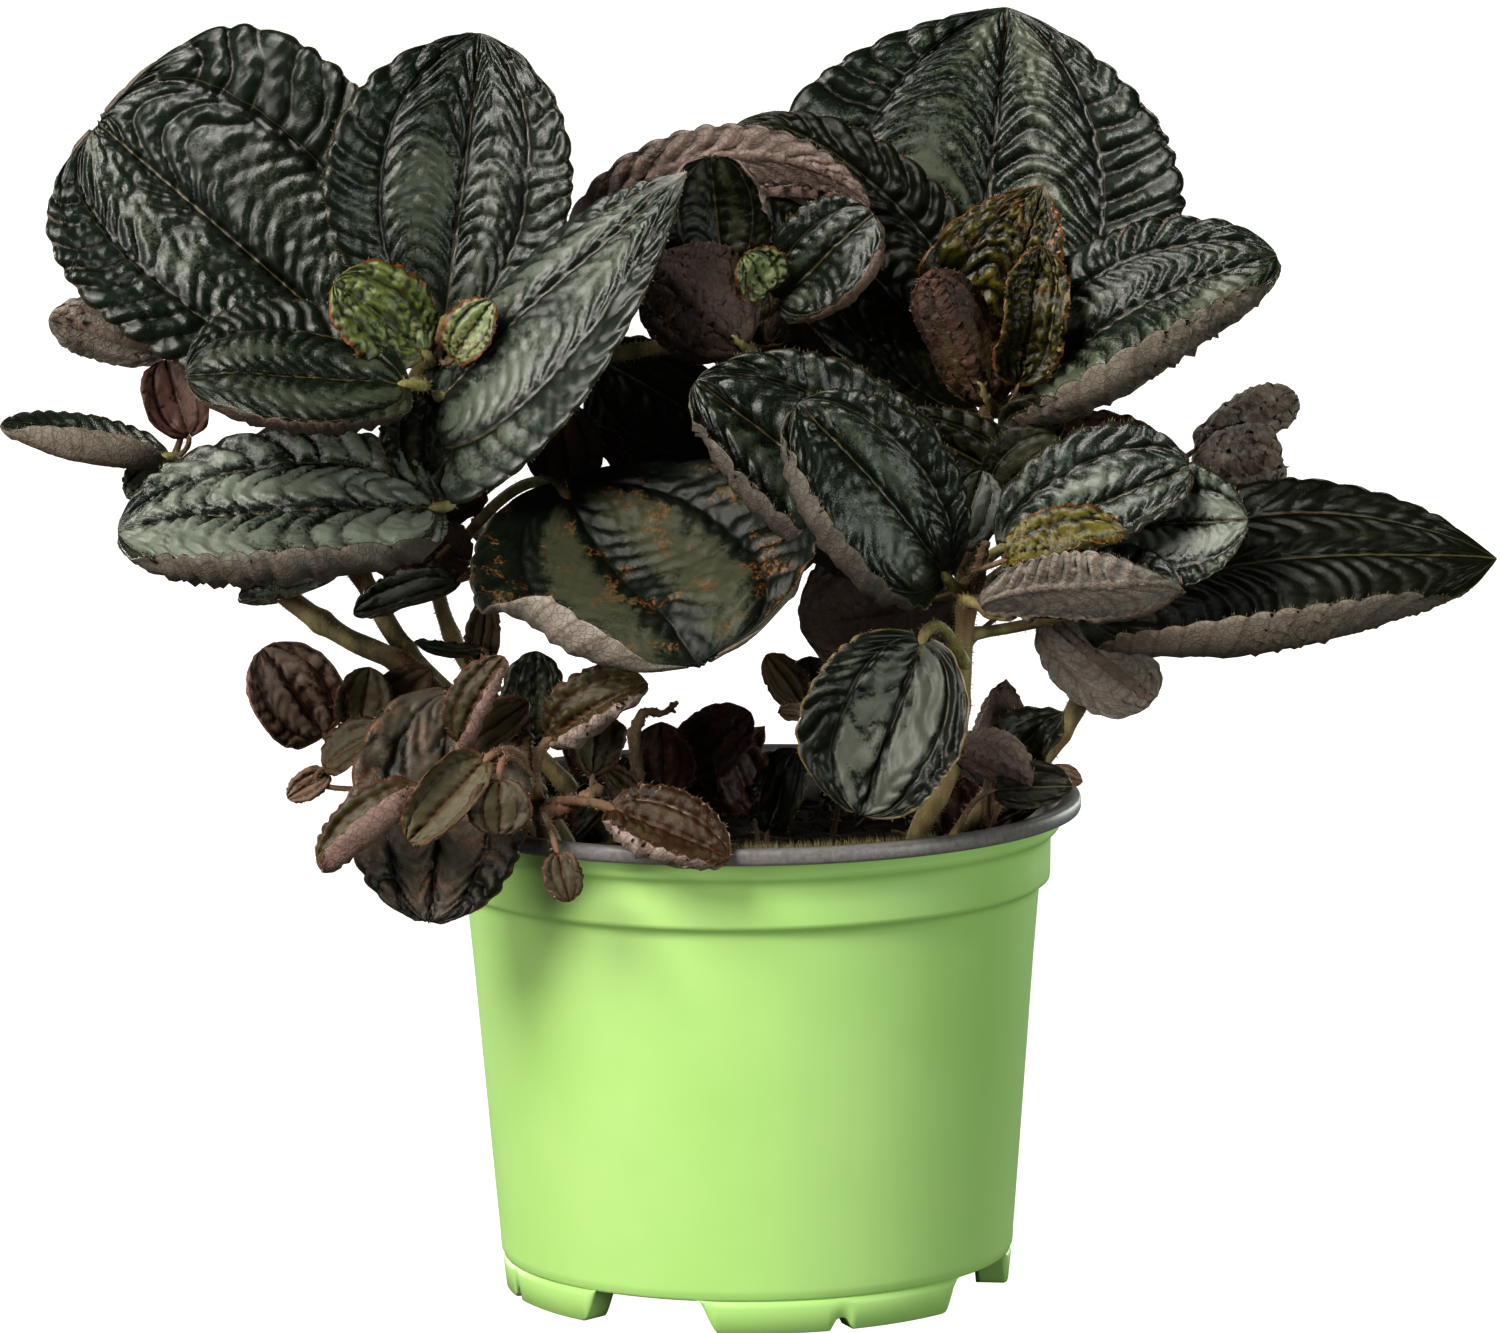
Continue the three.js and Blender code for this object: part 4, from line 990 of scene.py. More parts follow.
def add_faces_of_blade(shape, upper, lower, veins, tone, step):
    """Both faces and the edge. The lower face has every point of the upper one, or every second one."""
    rows, columns = upper.shape[:2]
    faces, places = grid_faces(rows, columns)
    top = shape.add_points(upper, veins, tone)
    shape.add_faces(faces + top, places, UPPER_TILE, 0)
    few = (slice(None, None, step), slice(None, None, step))
    low_rows, low_columns = lower[few].shape[:2]
    faces, places = grid_faces(low_rows, low_columns)
    under = shape.add_points(lower[few], veins[few], tone[few])
    shape.add_faces(faces[:, ::-1] + under, places[:, ::-1], LOWER_TILE, 1)
    ring = grid_border(rows, columns)
    low_ring = grid_border(low_rows, low_columns)
    upper_side = [top + np.roll(ring, -ahead)[::step] for ahead in range(step, -1, -1)]
    sides = np.stack(upper_side + [under + low_ring, under + np.roll(low_ring, -1)], axis=1)
    across = np.append(np.arange(step, -1, -1) / step, (0.0, 1.0))
    ends = (np.arange(len(low_ring))[:, None] + across) / len(low_ring)
    rise = np.append(np.ones(step + 1), (0.0, 0.0))
    edge_places = np.stack([ends, np.broadcast_to(rise, ends.shape)], axis=-1)
    shape.add_faces(sides, edge_places, EDGE_TILE, 0)


FRINGE_RATE = 2.2  # hairs for each mm of a blade's length


def add_fringe(hairs, draw, upper, outward, length):
    """Hairs that stand out from both edges of the blade and lean towards its tip."""
    edge = np.concatenate([upper[:, 0], upper[:, -1]])
    away = np.concatenate([outward[:, 0], outward[:, -1]])
    ahead = np.concatenate([np.gradient(upper[:, 0], axis=0), np.gradient(upper[:, -1], axis=0)])
    count = int(FRINGE_RATE * length)
    pick = draw.uniform(0, len(edge) - 2, count)
    low = pick.astype(int)
    low[low == len(upper) - 1] -= 1
    part = (pick - np.floor(pick))[:, None]
    roots = edge[low] * (1 - part) + edge[low + 1] * part
    heading = away[low] + 0.5 * unit(ahead[low]) + draw.normal(0, 0.25, (count, 3))
    hairs.add(roots, heading, draw.uniform(0.35, 0.9, count))


PETIOLE_AROUND = 10
PETIOLE_STEP = 1.6
PETIOLE_END = 0.16  # how far along the blade the petiole runs, as a share of its length
PETIOLE_HAIRS = 7  # for each mm


def add_petiole(shape, hairs, leaf, draw, under_midrib, normals, u):
    """The petiole swings from its stem into line with the midrib and runs out along it under the blade."""
    root, _, along, up, _ = blade_axes(leaf)
    start = np.array(leaf["stalk"], float)
    bend = math.radians(leaf["arch"] / 2)
    heading = along * math.cos(bend) + up * math.sin(bend)
    reach = np.linalg.norm(root - start)
    swing = root - 0.45 * reach * heading
    radius = leaf["petiole"]
    steps = max(6, int(reach / PETIOLE_STEP))
    t = np.linspace(0, 1, steps + 1)[:, None]
    curve = (1 - t) ** 2 * start + 2 * t * (1 - t) * swing + t ** 2 * root
    last = int(np.searchsorted(u, PETIOLE_END))
    along_rib = under_midrib[1:last:2] + normals[1:last:2] * radius * 0.35
    route = np.vstack([curve[:-1], along_rib])
    gap = np.linalg.norm(np.diff(route, axis=0), axis=1)
    route = route[np.concatenate([[True], gap > 0.15])]
    past = (np.arange(len(route)) >= steps) * np.linalg.norm(route - root, axis=1)
    radii = radius * (1 - 0.75 * np.clip(past / max(past.max(), 0.1), 0, 1))
    radii[0] *= 1.5
    radii[1] *= 1.2
    wall = add_tube(shape, route, radii, PETIOLE_AROUND, 2)
    add_fuzz(hairs, draw, wall[:steps], route, int(reach * PETIOLE_HAIRS), 0.25 * radius, (0.4, 1.0))


def make_leaf(name, description, number, hairs, nodes=()):
    """One leaf as a piece of its own. Its hairs go with all the others."""
    draw = np.random.default_rng(number)
    details = leaf_details(description)
    shape = Shape()
    under_midrib, normals, u = add_blade(shape, hairs, details, draw)
    add_petiole(shape, hairs, details, draw, under_midrib, normals, u)
    face, back = details["skin"]
    stalk_skin = petiole_skin if details["petiole"] > 1 else twig_skin
    materials = [upper_skins[face], lower_skins[back], stalk_skin]
    shape.finish(name, materials, slots[face], nodes)


LOW_LEAF_COUNT = 30
LOW_LEAF_ARC = (76, 196)  # where the low leaves start and how far round they go, in degrees
LOW_LEAF_FOOT = 80.0
LOW_SKINS = [("cavern", "brown"), ("maroon", "brown"), ("cavern", "brown"), ("bronze", "brown")]
CURL = 140  # degrees that the two rims of a low leaf roll up together


def make_low_leaves(hairs):
    """Small crumpled leaves that rise from the compost round the back half of the pot."""
    draw = np.random.default_rng(900)
    start, span = LOW_LEAF_ARC
    for number in range(LOW_LEAF_COUNT):
        angle = math.radians(start + span * (number + draw.uniform(0, 0.8)) / LOW_LEAF_COUNT)
        out = draw.uniform(30, 43)
        foot = np.array((out * math.sin(angle), -out * math.cos(angle), LOW_LEAF_FOOT))
        length = draw.uniform(9, 18)
        root = foot + (draw.normal(0, 2), -draw.uniform(0, 3), draw.uniform(1, 6))
        tip = root + (draw.normal(0, 8), draw.normal(0, 3), length * draw.uniform(0.5, 0.9))
        curl = draw.uniform(0, CURL)
        face = (draw.normal(0, 6), -10, draw.normal(3, 5))
        description = small_leaf(
            foot, root, tip, face, length * draw.uniform(0.55, 0.85), LOW_SKINS[number % len(LOW_SKINS)],
            arch=draw.uniform(-40, 70), cup=(30, 30), rim=(curl, CURL - curl), point=0.9, relief=0.5,
            waves=0.2, cell=0.7, pattern="quilts",
        )
        make_leaf(f"low_leaf_{number + 1:02d}", description, 300 + number, hairs)


# ---------------------------------------------------------------- stems

STEMS = {  # the radius at the foot, and the route
    "left_arching_stem": (2.2, [
        (-34, -27, 76), (-37, -26, 87), (-49, -22, 104), (-61, -16, 116), (-74, -10, 122), (-87, -4, 131),
        (-98, 0, 144), (-104, 2, 152),
    ]),
    "left_upright_stem": (2, [
        (-32, -14, 76), (-35, -14, 86), (-48, -11, 104), (-61, -8, 117), (-68, -6, 128), (-72, -4, 138),
        (-68, -4, 150), (-62, -5, 163), (-57, -7, 172),
    ]),
    "back_centre_stem": (1.6, [
        (-24, 1, 76), (-28, 1, 85), (-46, 4, 106), (-55, 5, 121), (-56, 6, 134), (-46, 8, 152),
        (-30, 9, 167), (-18, 9, 171), (-6, 7, 171), (-1, 5, 175),
    ]),
    "right_upright_stem": (2, [
        (27, -29, 76), (30, -30, 88), (36, -30, 101), (38, -28, 120), (39, -26, 131), (40, -14, 142),
        (41, -2, 153), (45, 4, 162),
    ]),
    "right_arching_stem": (2, [
        (33, -19, 76), (40, -20, 89), (53, -18, 100), (61, -14, 112), (67, -6, 126), (74, 2, 139),
        (79, 8, 150),
    ]),
    "tuft_stem": (1.8, [(-36, -33, 76), (-37, -37, 89), (-38, -42, 97), (-40, -44, 106)]),
}
STEM_AROUND = 20
STEM_TAPER = 0.22
STEM_HAIRS = 14  # for each mm
JOINT_SPACING = 17  # mm between two swollen joints of a stem
JOINT_START = 6
JOINT_WIDTH = 1.6
JOINT_SWELL = 0.22
RIDGE_COUNT = 5
RIDGE_HEIGHT = 0.035


def make_stem(name, base_radius, points, number, hairs):
    """A tapering ridged stem with swollen joints."""
    draw = np.random.default_rng(500 + number)
    route = smooth_route(points, 150)
    run = np.concatenate([[0], np.cumsum(np.linalg.norm(np.diff(route, axis=0), axis=1))])
    turn = 2 * np.pi * np.arange(STEM_AROUND) / STEM_AROUND
    radius = base_radius * (1 - STEM_TAPER * run / run[-1])
    joint = bell((run + JOINT_START) % JOINT_SPACING, JOINT_SPACING / 2, JOINT_WIDTH)
    radius = radius * (1 + JOINT_SWELL * joint)
    uneven = 1 + 0.05 * ripple(draw, run[:, None] * 0.5, np.cos(turn)[None] * 2, 1.0)
    ridges = 1 + RIDGE_HEIGHT * np.cos(RIDGE_COUNT * turn)[None]
    shape = Shape()
    wall = add_tube(shape, route, radius[:, None] * uneven * ridges, STEM_AROUND)
    add_fuzz(hairs, draw, wall, route, int(run[-1] * STEM_HAIRS), 0.7, (0.4, 1.2))
    skin = twig_skin if name == "tuft_stem" else stem_skin
    shape.finish(name + "_skin", [skin], "stem", [name])


TWIGS = {  # buds, stubs and bare twigs: the route, the radius at each end, and the number of crumbs
    "tuft_stub": ([(-40, -45, 100), (-40, -46, 105), (-39.5, -46.5, 109)], (2.2, 1.3), 9),
    "tuft_branch": (
        [(-39, -45, 95), (-35, -47.5, 95.3), (-30, -48.5, 97.2), (-26.5, -49, 99.5)], (1.3, 1.5), 10,
    ),
    "soil_twig": ([(-19, -30, 79), (-20, -30, 94), (-21, -30, 107)], (1.0, 1.1), 0),
    "soil_twig_head": (
        [(-21, -30, 106), (-19, -30, 110), (-15.5, -30.5, 110), (-13, -31, 112)], (1.2, 0.4), 7,
    ),
    "left_crown_bud": ([(-56, -9, 172), (-57, -13, 174), (-60, -16, 178)], (2.2, 1.2), 16),
    "front_crown_bud": ([(40, -30, 132), (41, -36, 137), (42, -38, 141)], (1.6, 0.8), 8),
    "right_crown_bud": ([(46, -4, 164), (48, -11, 170), (49, -13, 172)], (1.4, 0.8), 8),
}
TWIG_AROUND = 10
TWIG_HAIRS = 160


def make_twig(name, points, radii, crumbs, number, hairs):
    """A rough stub with crumbs on its outer half."""
    draw = np.random.default_rng(700 + number)
    route = smooth_route(points, 24)
    thick, thin = radii
    rough = 1 + 0.16 * draw.normal(size=(len(route), TWIG_AROUND))
    shape = Shape()
    wall = add_tube(shape, route, np.linspace(thick, thin, len(route))[:, None] * rough, TWIG_AROUND)
    ball = icosphere()
    for _ in range(crumbs):
        step = draw.integers(len(route) // 2, len(route))
        centre = route[step] + unit(draw.normal(size=3)) * thin
        add_lump(shape, draw, ball, centre, draw.uniform(0.5, 1.0))
    add_fuzz(hairs, draw, wall, route, TWIG_HAIRS, 0.4, (0.4, 1.1))
    shape.finish(name, [twig_skin], "stem")


# ---------------------------------------------------------------- pot

POT_AROUND = 192
LIP_BOTTOM = 87.1
LINING_START = (57.6, 89.95)  # where the lip turns down inside
POT_PROFILE = [  # outside from the base's centre up, over the lip and down inside
    (0, 6.0), (30, 6.0), (44.5, 6.0), (46.0, 6.0), (46.5, 6.2), (46.6, 6.6), (46.9, 7.2), (47.0, 8.2),
    (47.05, 9.5), (48.4, 26), (49.75, 43), (51.1, 60), (52.2, 72.2), (52.3, 73.2), (52.6, 73.9),
    (53.5, 74.5), (54.2, 74.9), (54.32, 75.6), (54.4, 79), (54.45, 82.0), (54.6, 82.7), (55.0, 83.3),
    (55.7, 83.8), (56.1, 84.3), (56.2, 85.0), (56.25, 86.6), (56.6, 87.0), (57.2, LIP_BOTTOM),
    (59.3, LIP_BOTTOM), (59.8, 87.3), (60.0, 87.8), (60.0, 89.2), (59.8, 89.7), (59.3, 89.95),
    (58.6, 90.0), LINING_START, (56.8, 89.7), (56.2, 89.1), (55.6, 87.6), (55.3, 86.4), (55.2, 84.8),
    (54.6, 83.9), (53.7, 82.9), (53.5, 81.8), (53.3, 76), (53.2, 75.6), (52.0, 74.6), (51.4, 73.4),
    (51.3, 72), (48.8, 43), (46.1, 9.2), (45.6, 7.4), (44.8, 6.9), (30, 6.9), (0, 6.9),
]
FOOT_COUNT = 4
FOOT_TURN = 19  # degrees from the front towards +X, to the middle of the first foot
FOOT_SPAN = 66
FOOT_HEIGHT = 6.3
FOOT_RADIUS = 46
FOOT_COLUMNS = 97
FOOT_SLOPE = 4.2  # mm over which a foot's ends rise
FOOT_SECTION = [  # radius, 1 for the foot's bottom or 0 for its top, and mm above the bottom
    (45.6, 1, 0), (46.1, 1, 0.25), (46.6, 0.25, 0), (46.3, 0, 0), (43.5, 0, 0), (40.5, 0, 0), (40.5, 1, 0),
    (41.5, 1, 0),
]
ARCH_RADIUS = 1.8
ARCH_STRETCH = 1.25
DRAIN_RADIUS = 3.5
DRAIN_CIRCLE = 35
DRAIN_HEIGHTS = (3.0, 6.5, 9.0)  # of the cutter, from below the base to above it
DRAIN_AROUND = 28


def add_lathe(shape, profile, around, inner_from):
    """A turned solid whose profile starts and ends on the axis. From row inner_from on it is material 1."""
    profile = np.array(profile, float)
    turn = 2 * np.pi * np.arange(around) / around
    ring = np.stack([np.sin(turn), -np.cos(turn), np.zeros(around)], axis=1)
    wall = profile[1:-1, 0][:, None, None] * ring + profile[1:-1, 1][:, None, None] * np.array((0, 0, 1.0))
    first = shape.add_points(wall)
    faces, places = grid_faces(len(profile) - 2, around, around=True)
    outer = inner_from * around
    shape.add_faces(faces[:outer] + first, places[:outer], UPPER_TILE, 0)
    shape.add_faces(faces[outer:] + first, places[outer:], UPPER_TILE, 1)
    low = shape.add_points((0, 0, profile[0][1]))
    high = shape.add_points((0, 0, profile[-1][1]))
    shape.add_end(first + np.arange(around), low, END_TILE, 0, flip=True)
    shape.add_end(first + (len(profile) - 3) * around + np.arange(around), high, END_TILE, 1)


def add_foot(shape, middle):
    """A short curved wall under the heel, with sloping ends and a small arch at its middle."""
    swing = np.linspace(-FOOT_SPAN / 2, FOOT_SPAN / 2, FOOT_COLUMNS)
    from_middle = np.radians(swing) * FOOT_RADIUS
    from_end = np.radians(FOOT_SPAN / 2 - np.abs(swing)) * FOOT_RADIUS
    arch = np.sqrt(np.clip(ARCH_RADIUS ** 2 - from_middle ** 2, 0, None)) * ARCH_STRETCH
    bottom = np.maximum(arch, FOOT_HEIGHT * (1 - smooth_step(from_end, 0, FOOT_SLOPE)) * 0.999)
    angle = np.radians(middle + swing)
    points = []
    for radius, low_share, above in FOOT_SECTION:
        z = low_share * np.minimum(bottom + above, FOOT_HEIGHT) + (1 - low_share) * FOOT_HEIGHT
        points.append(np.stack([radius * np.sin(angle), -radius * np.cos(angle), z], axis=1))
    wall = np.stack(points, axis=1)
    around = len(FOOT_SECTION)
    first = shape.add_points(wall)
    faces, places = grid_faces(FOOT_COLUMNS, around, around=True)
    shape.add_faces(faces + first, places, LOWER_TILE)
    for row, flip in ((0, True), (FOOT_COLUMNS - 1, False)):
        centre = shape.add_points(wall[row].mean(axis=0))
        shape.add_end(first + row * around + np.arange(around), centre, END_TILE, 0, flip)


def cut(piece, cutter):
    """Takes the cutter away from the piece, and removes the cutter."""
    change = piece.modifiers.new("cut", "BOOLEAN")
    change.object = cutter
    change.operation = "DIFFERENCE"
    change.solver = "EXACT"
    bpy.context.view_layer.update()
    result = bpy.data.meshes.new_from_object(piece.evaluated_get(bpy.context.evaluated_depsgraph_get()))
    piece.modifiers.clear()
    piece.data = result
    bpy.data.objects.remove(cutter)


def drain_cutter():
    """Rods through the base, between the feet."""
    holes = Shape()
    for foot in range(FOOT_COUNT):
        angle = math.radians(FOOT_TURN + (foot + 0.5) * 360 / FOOT_COUNT)
        x = DRAIN_CIRCLE * math.sin(angle)
        y = -DRAIN_CIRCLE * math.cos(angle)
        route = np.array([(x, y, z) for z in DRAIN_HEIGHTS])
        add_tube(holes, route, np.full(len(route), DRAIN_RADIUS), DRAIN_AROUND)
    return holes.finish("drain_cutter", [pot_skin], "pot")


def make_pot():
    shape = Shape()
    add_lathe(shape, POT_PROFILE, POT_AROUND, POT_PROFILE.index(LINING_START) - 1)
    pot = shape.finish("pot_shell", [pot_skin, lining_skin], "pot", ["pot"])
    cut(pot, drain_cutter())
    feet = Shape()
    for foot in range(FOOT_COUNT):
        add_foot(feet, FOOT_TURN + foot * 360 / FOOT_COUNT)
    feet.finish("pot_feet", [pot_skin], "pot")


# ---------------------------------------------------------------- soil

SOIL_TOP = 81.3
SOIL_RADIUS = 53.0
SOIL_SIDE = [  # radius and height, from the top down
    (53.0, 79.5), (53.0, 76), (51.0, 72.5), (48.4, 43), (45.6, 9.4), (44.6, 7.6), (30, 7.4), (0, 7.4),
]
SOIL_RINGS = 46
SOIL_AROUND = 150
CRUMB_COUNT = 420
CRUMB_REACH = 52
PERLITE_SHARE = 0.1
STRAW_COUNT = 46
STRAW_REACH = 50
STRAW_POINTS = 6
MOSS_COUNT = 1500
MOSS_ARC = (-10, 36)  # degrees from the front towards +X
MOSS_RISE = (88.1, 89.1)  # where on the inside of the lip it grows


def soil_height(x, y):
    """The lumpy top of the compost."""
    draw = np.random.default_rng(77)
    swell = 0.9 * ripple(draw, x * 0.11, y * 0.11, 1.0)
    lumps = 0.55 * ripple(draw, x * 0.6, y * 0.6, 1.0, 9)
    crumbs = 0.3 * ripple(draw, x * 1.9, y * 1.9, 1.0, 12)
    return SOIL_TOP + swell + lumps + crumbs


def icosphere():
    """The points and faces of a ball of radius 1."""
    mesh = bpy.data.meshes.new("lump")
    build = bmesh.new()
    bmesh.ops.create_icosphere(build, subdivisions=2, radius=1.0)
    build.to_mesh(mesh)
    build.free()
    points = np.array([vertex.co for vertex in mesh.vertices])
    faces = np.array([list(face.vertices) for face in mesh.polygons])
    bpy.data.meshes.remove(mesh)
    return points, faces


def add_lump(shape, draw, ball, centre, size, material=0):
    """A ball stretched and dented at random."""
    points, faces = ball
    heading = unit(draw.normal(size=(3, 3)))
    stretch = size * draw.uniform(0.55, 1.15, 3)
    dents = np.sin(points @ heading.T * 3.1 + draw.uniform(0, 6, 3)).sum(axis=1, keepdims=True)
    rough = 1 + 0.28 * dents / 2
    first = shape.add_points(points * rough * stretch @ heading * 0.7 + centre)
    turn = np.arctan2(points[:, 1], points[:, 0]) / (2 * np.pi) + 0.5
    places = np.stack([turn, points[:, 2] * 0.5 + 0.5], axis=1)[faces]
    shape.add_faces(faces + first, places, WHOLE_TILE, material)


def soil_place(draw, reach, least):
    """A random place on the compost and how far out it is, evenly spread up to that reach."""
    angle = draw.uniform(0, 2 * math.pi)
    out = reach * math.sqrt(draw.uniform(least, 1))
    return out, np.array((out * math.sin(angle), -out * math.cos(angle)))


def make_root_ball():
    """The compost, down to the base of the pot."""
    shape = Shape()
    reach = SOIL_RADIUS * (np.arange(1, SOIL_RINGS + 1) / SOIL_RINGS)
    around = np.arange(SOIL_AROUND)
    turn = 2 * np.pi * around / SOIL_AROUND
    x = reach[:, None] * np.sin(turn)
    y = -reach[:, None] * np.cos(turn)
    top = np.stack([x, y, soil_height(x, y)], axis=-1)
    top[..., 2] -= 1.5 * smooth_step(reach, 49, SOIL_RADIUS)[:, None]
    radius, height = np.array(SOIL_SIDE[:-1]).T[..., None]
    height = np.repeat(height, SOIL_AROUND, axis=1)
    under = np.stack([radius * np.sin(turn), -radius * np.cos(turn), height], axis=-1)
    wall = np.concatenate([top, under])[::-1]
    first = shape.add_points(wall)
    faces, places = grid_faces(len(wall), SOIL_AROUND, around=True)
    shape.add_faces(faces + first, places, UPPER_TILE)
    bottom = shape.add_points((0, 0, SOIL_SIDE[-1][1]))
    centre = shape.add_points((0, 0, float(soil_height(0.0, 0.0))))
    shape.add_end(first + around, bottom, END_TILE, flip=True)
    shape.add_end(first + (len(wall) - 1) * SOIL_AROUND + around, centre, END_TILE)
    shape.finish("soil_ball", [soil_skin], "soil", ["soil"])


def make_crumbs(draw):
    """Lumps of compost on its top, and some of perlite."""
    crumbs = Shape()
    ball = icosphere()
    for _ in range(CRUMB_COUNT):
        out, place = soil_place(draw, CRUMB_REACH, 0.02)
        size = draw.uniform(0.5, 1.9)
        sunk = 1.2 if out > 50 else 0
        height = float(soil_height(*place)) + 0.2 * size - sunk
        if draw.uniform() < 1 - PERLITE_SHARE:
            add_lump(crumbs, draw, ball, np.append(place, height), size)
        else:
            add_lump(crumbs, draw, ball, np.append(place, height), size * 0.7, 1)
    crumbs.finish("soil_crumbs", [soil_skin, perlite_skin], "soil")


def make_straws(draw):
    """Thin straws that lie on the compost."""
    straws = Shape()
    for _ in range(STRAW_COUNT):
        _, place = soil_place(draw, STRAW_REACH, 0.05)
        lie = draw.uniform(0, 2 * math.pi)
        length = draw.uniform(3, 9)
        steps = (np.linspace(-0.5, 0.5, STRAW_POINTS) * length)[:, None]
        spots = place + steps * np.array((math.cos(lie), math.sin(lie)))
        heights = soil_height(spots[:, 0], spots[:, 1]) + 0.5 + draw.uniform(0, 0.5)
        radii = np.full(STRAW_POINTS, draw.uniform(0.15, 0.4))
        add_tube(straws, np.column_stack([spots, heights]), radii, 6)
    straws.finish("soil_straws", [straw_skin], "soil")


def make_moss(draw):
    """Short threads on the inside of the lip, at the front."""
    moss = Hairs()
    angle = np.radians(draw.uniform(*MOSS_ARC, MOSS_COUNT))
    rise = draw.uniform(*MOSS_RISE, MOSS_COUNT)
    out = 55.6 + 0.4 * (rise - 87.6)
    roots = np.column_stack([out * np.sin(angle), -out * np.cos(angle), rise])
    inward = np.column_stack([-np.sin(angle), np.cos(angle), np.full(MOSS_COUNT, 2.2)])
    moss.add(roots, inward + draw.normal(0, 0.5, (MOSS_COUNT, 3)), draw.uniform(1.2, 2.9, MOSS_COUNT))
    moss.finish("moss", moss_skin, "soil")


def make_soil():
    make_root_ball()
    draw = np.random.default_rng(78)
    make_crumbs(draw)
    make_straws(draw)
    make_moss(draw)


# ---------------------------------------------------------------- shader nodes

FIRST_NUMBER, SECOND_NUMBER, MIXED_NUMBER = 2, 3, 0  # sockets of a mix node for numbers
FIRST_COLOUR, SECOND_COLOUR, MIXED_COLOUR = 6, 7, 2  # and for colours


def put(tree, kind, **settings):
    node = tree.nodes.new(kind)
    for name, value in settings.items():
        setattr(node, name, value)
    return node


def feed(tree, socket, value):
    """Links a node's output to a socket, or sets the socket to a plain value."""
    if isinstance(value, bpy.types.NodeSocket):
        tree.links.new(value, socket)
    elif isinstance(value, (tuple, list)) and len(value) == 3 and socket.type == "RGBA":
        socket.default_value = (*value, 1.0)
    else:
        socket.default_value = value


def calc(tree, operation, first, second=0.0):
    node = put(tree, "ShaderNodeMath", operation=operation)
    feed(tree, node.inputs[0], first)
    feed(tree, node.inputs[1], second)
    return node.outputs[0]


def times(tree, first, second):
    return calc(tree, "MULTIPLY", first, second)


def plus(tree, first, second):
    return calc(tree, "ADD", first, second)


def minus(tree, first, second):
    return calc(tree, "SUBTRACT", first, second)


def scaled(tree, value, factor, offset):
    return plus(tree, times(tree, value, factor), offset)


def eased(tree, value, low, high):
    """0 below low, 1 above high, with an even ease between. high may be below low."""
    node = put(tree, "ShaderNodeMapRange", interpolation_type="SMOOTHSTEP")
    feed(tree, node.inputs["Value"], value)
    feed(tree, node.inputs["From Min"], low)
    feed(tree, node.inputs["From Max"], high)
    return node.outputs["Result"]


def mixed(tree, share, first, second, kind="MIX"):
    """A colour that is the first where the share is 0 and the second where it is 1."""
    node = put(tree, "ShaderNodeMix", data_type="RGBA", blend_type=kind)
    feed(tree, node.inputs["Factor"], share)
    feed(tree, node.inputs[FIRST_COLOUR], first)
    feed(tree, node.inputs[SECOND_COLOUR], second)
    return node.outputs[MIXED_COLOUR]


def between(tree, share, first, second):
    """A number that is the first where the share is 0 and the second where it is 1."""
    node = put(tree, "ShaderNodeMix", data_type="FLOAT")
    feed(tree, node.inputs["Factor"], share)
    feed(tree, node.inputs[FIRST_NUMBER], first)
    feed(tree, node.inputs[SECOND_NUMBER], second)
    return node.outputs[MIXED_NUMBER]


def object_place(tree):
    """Where the point is in its piece, in metres."""
    return put(tree, "ShaderNodeTexCoord").outputs["Object"]


def noise(tree, scale, detail=3.0, roughness=0.55, stretch=None):
    place = object_place(tree)
    if stretch is not None:
        shift = put(tree, "ShaderNodeMapping")
        feed(tree, shift.inputs["Vector"], place)
        shift.inputs["Scale"].default_value = stretch
        place = shift.outputs["Vector"]
    node = put(tree, "ShaderNodeTexNoise")
    feed(tree, node.inputs["Vector"], place)
    feed(tree, node.inputs["Scale"], scale)
    node.inputs["Detail"].default_value = detail
    node.inputs["Roughness"].default_value = roughness
    return node.outputs["Fac"]


def parts_of(tree, attribute):
    """The three numbers kept at each point under that attribute's name."""
    source = put(tree, "ShaderNodeAttribute", attribute_name=attribute)
    split = put(tree, "ShaderNodeSeparateXYZ")
    feed(tree, split.inputs[0], source.outputs["Vector"])
    return split.outputs[0], split.outputs[1], split.outputs[2]


def new_group(name, inputs, outputs):
    """An empty node group. inputs are (name, kind, value) and outputs (name, kind)."""
    group = bpy.data.node_groups.new(name, "ShaderNodeTree")
    for label, kind, value in inputs:
        socket = group.interface.new_socket(name=label, in_out="INPUT", socket_type=kind)
        socket.default_value = value
    for label, kind in outputs:
        group.interface.new_socket(name=label, in_out="OUTPUT", socket_type=kind)
    return group, group.nodes.new("NodeGroupInput").outputs, group.nodes.new("NodeGroupOutput").inputs


def use_group(tree, group, **values):
    node = put(tree, "ShaderNodeGroup", node_tree=group)
    for label, value in values.items():
        feed(tree, node.inputs[label.replace("_", " ")], value)
    return node.outputs


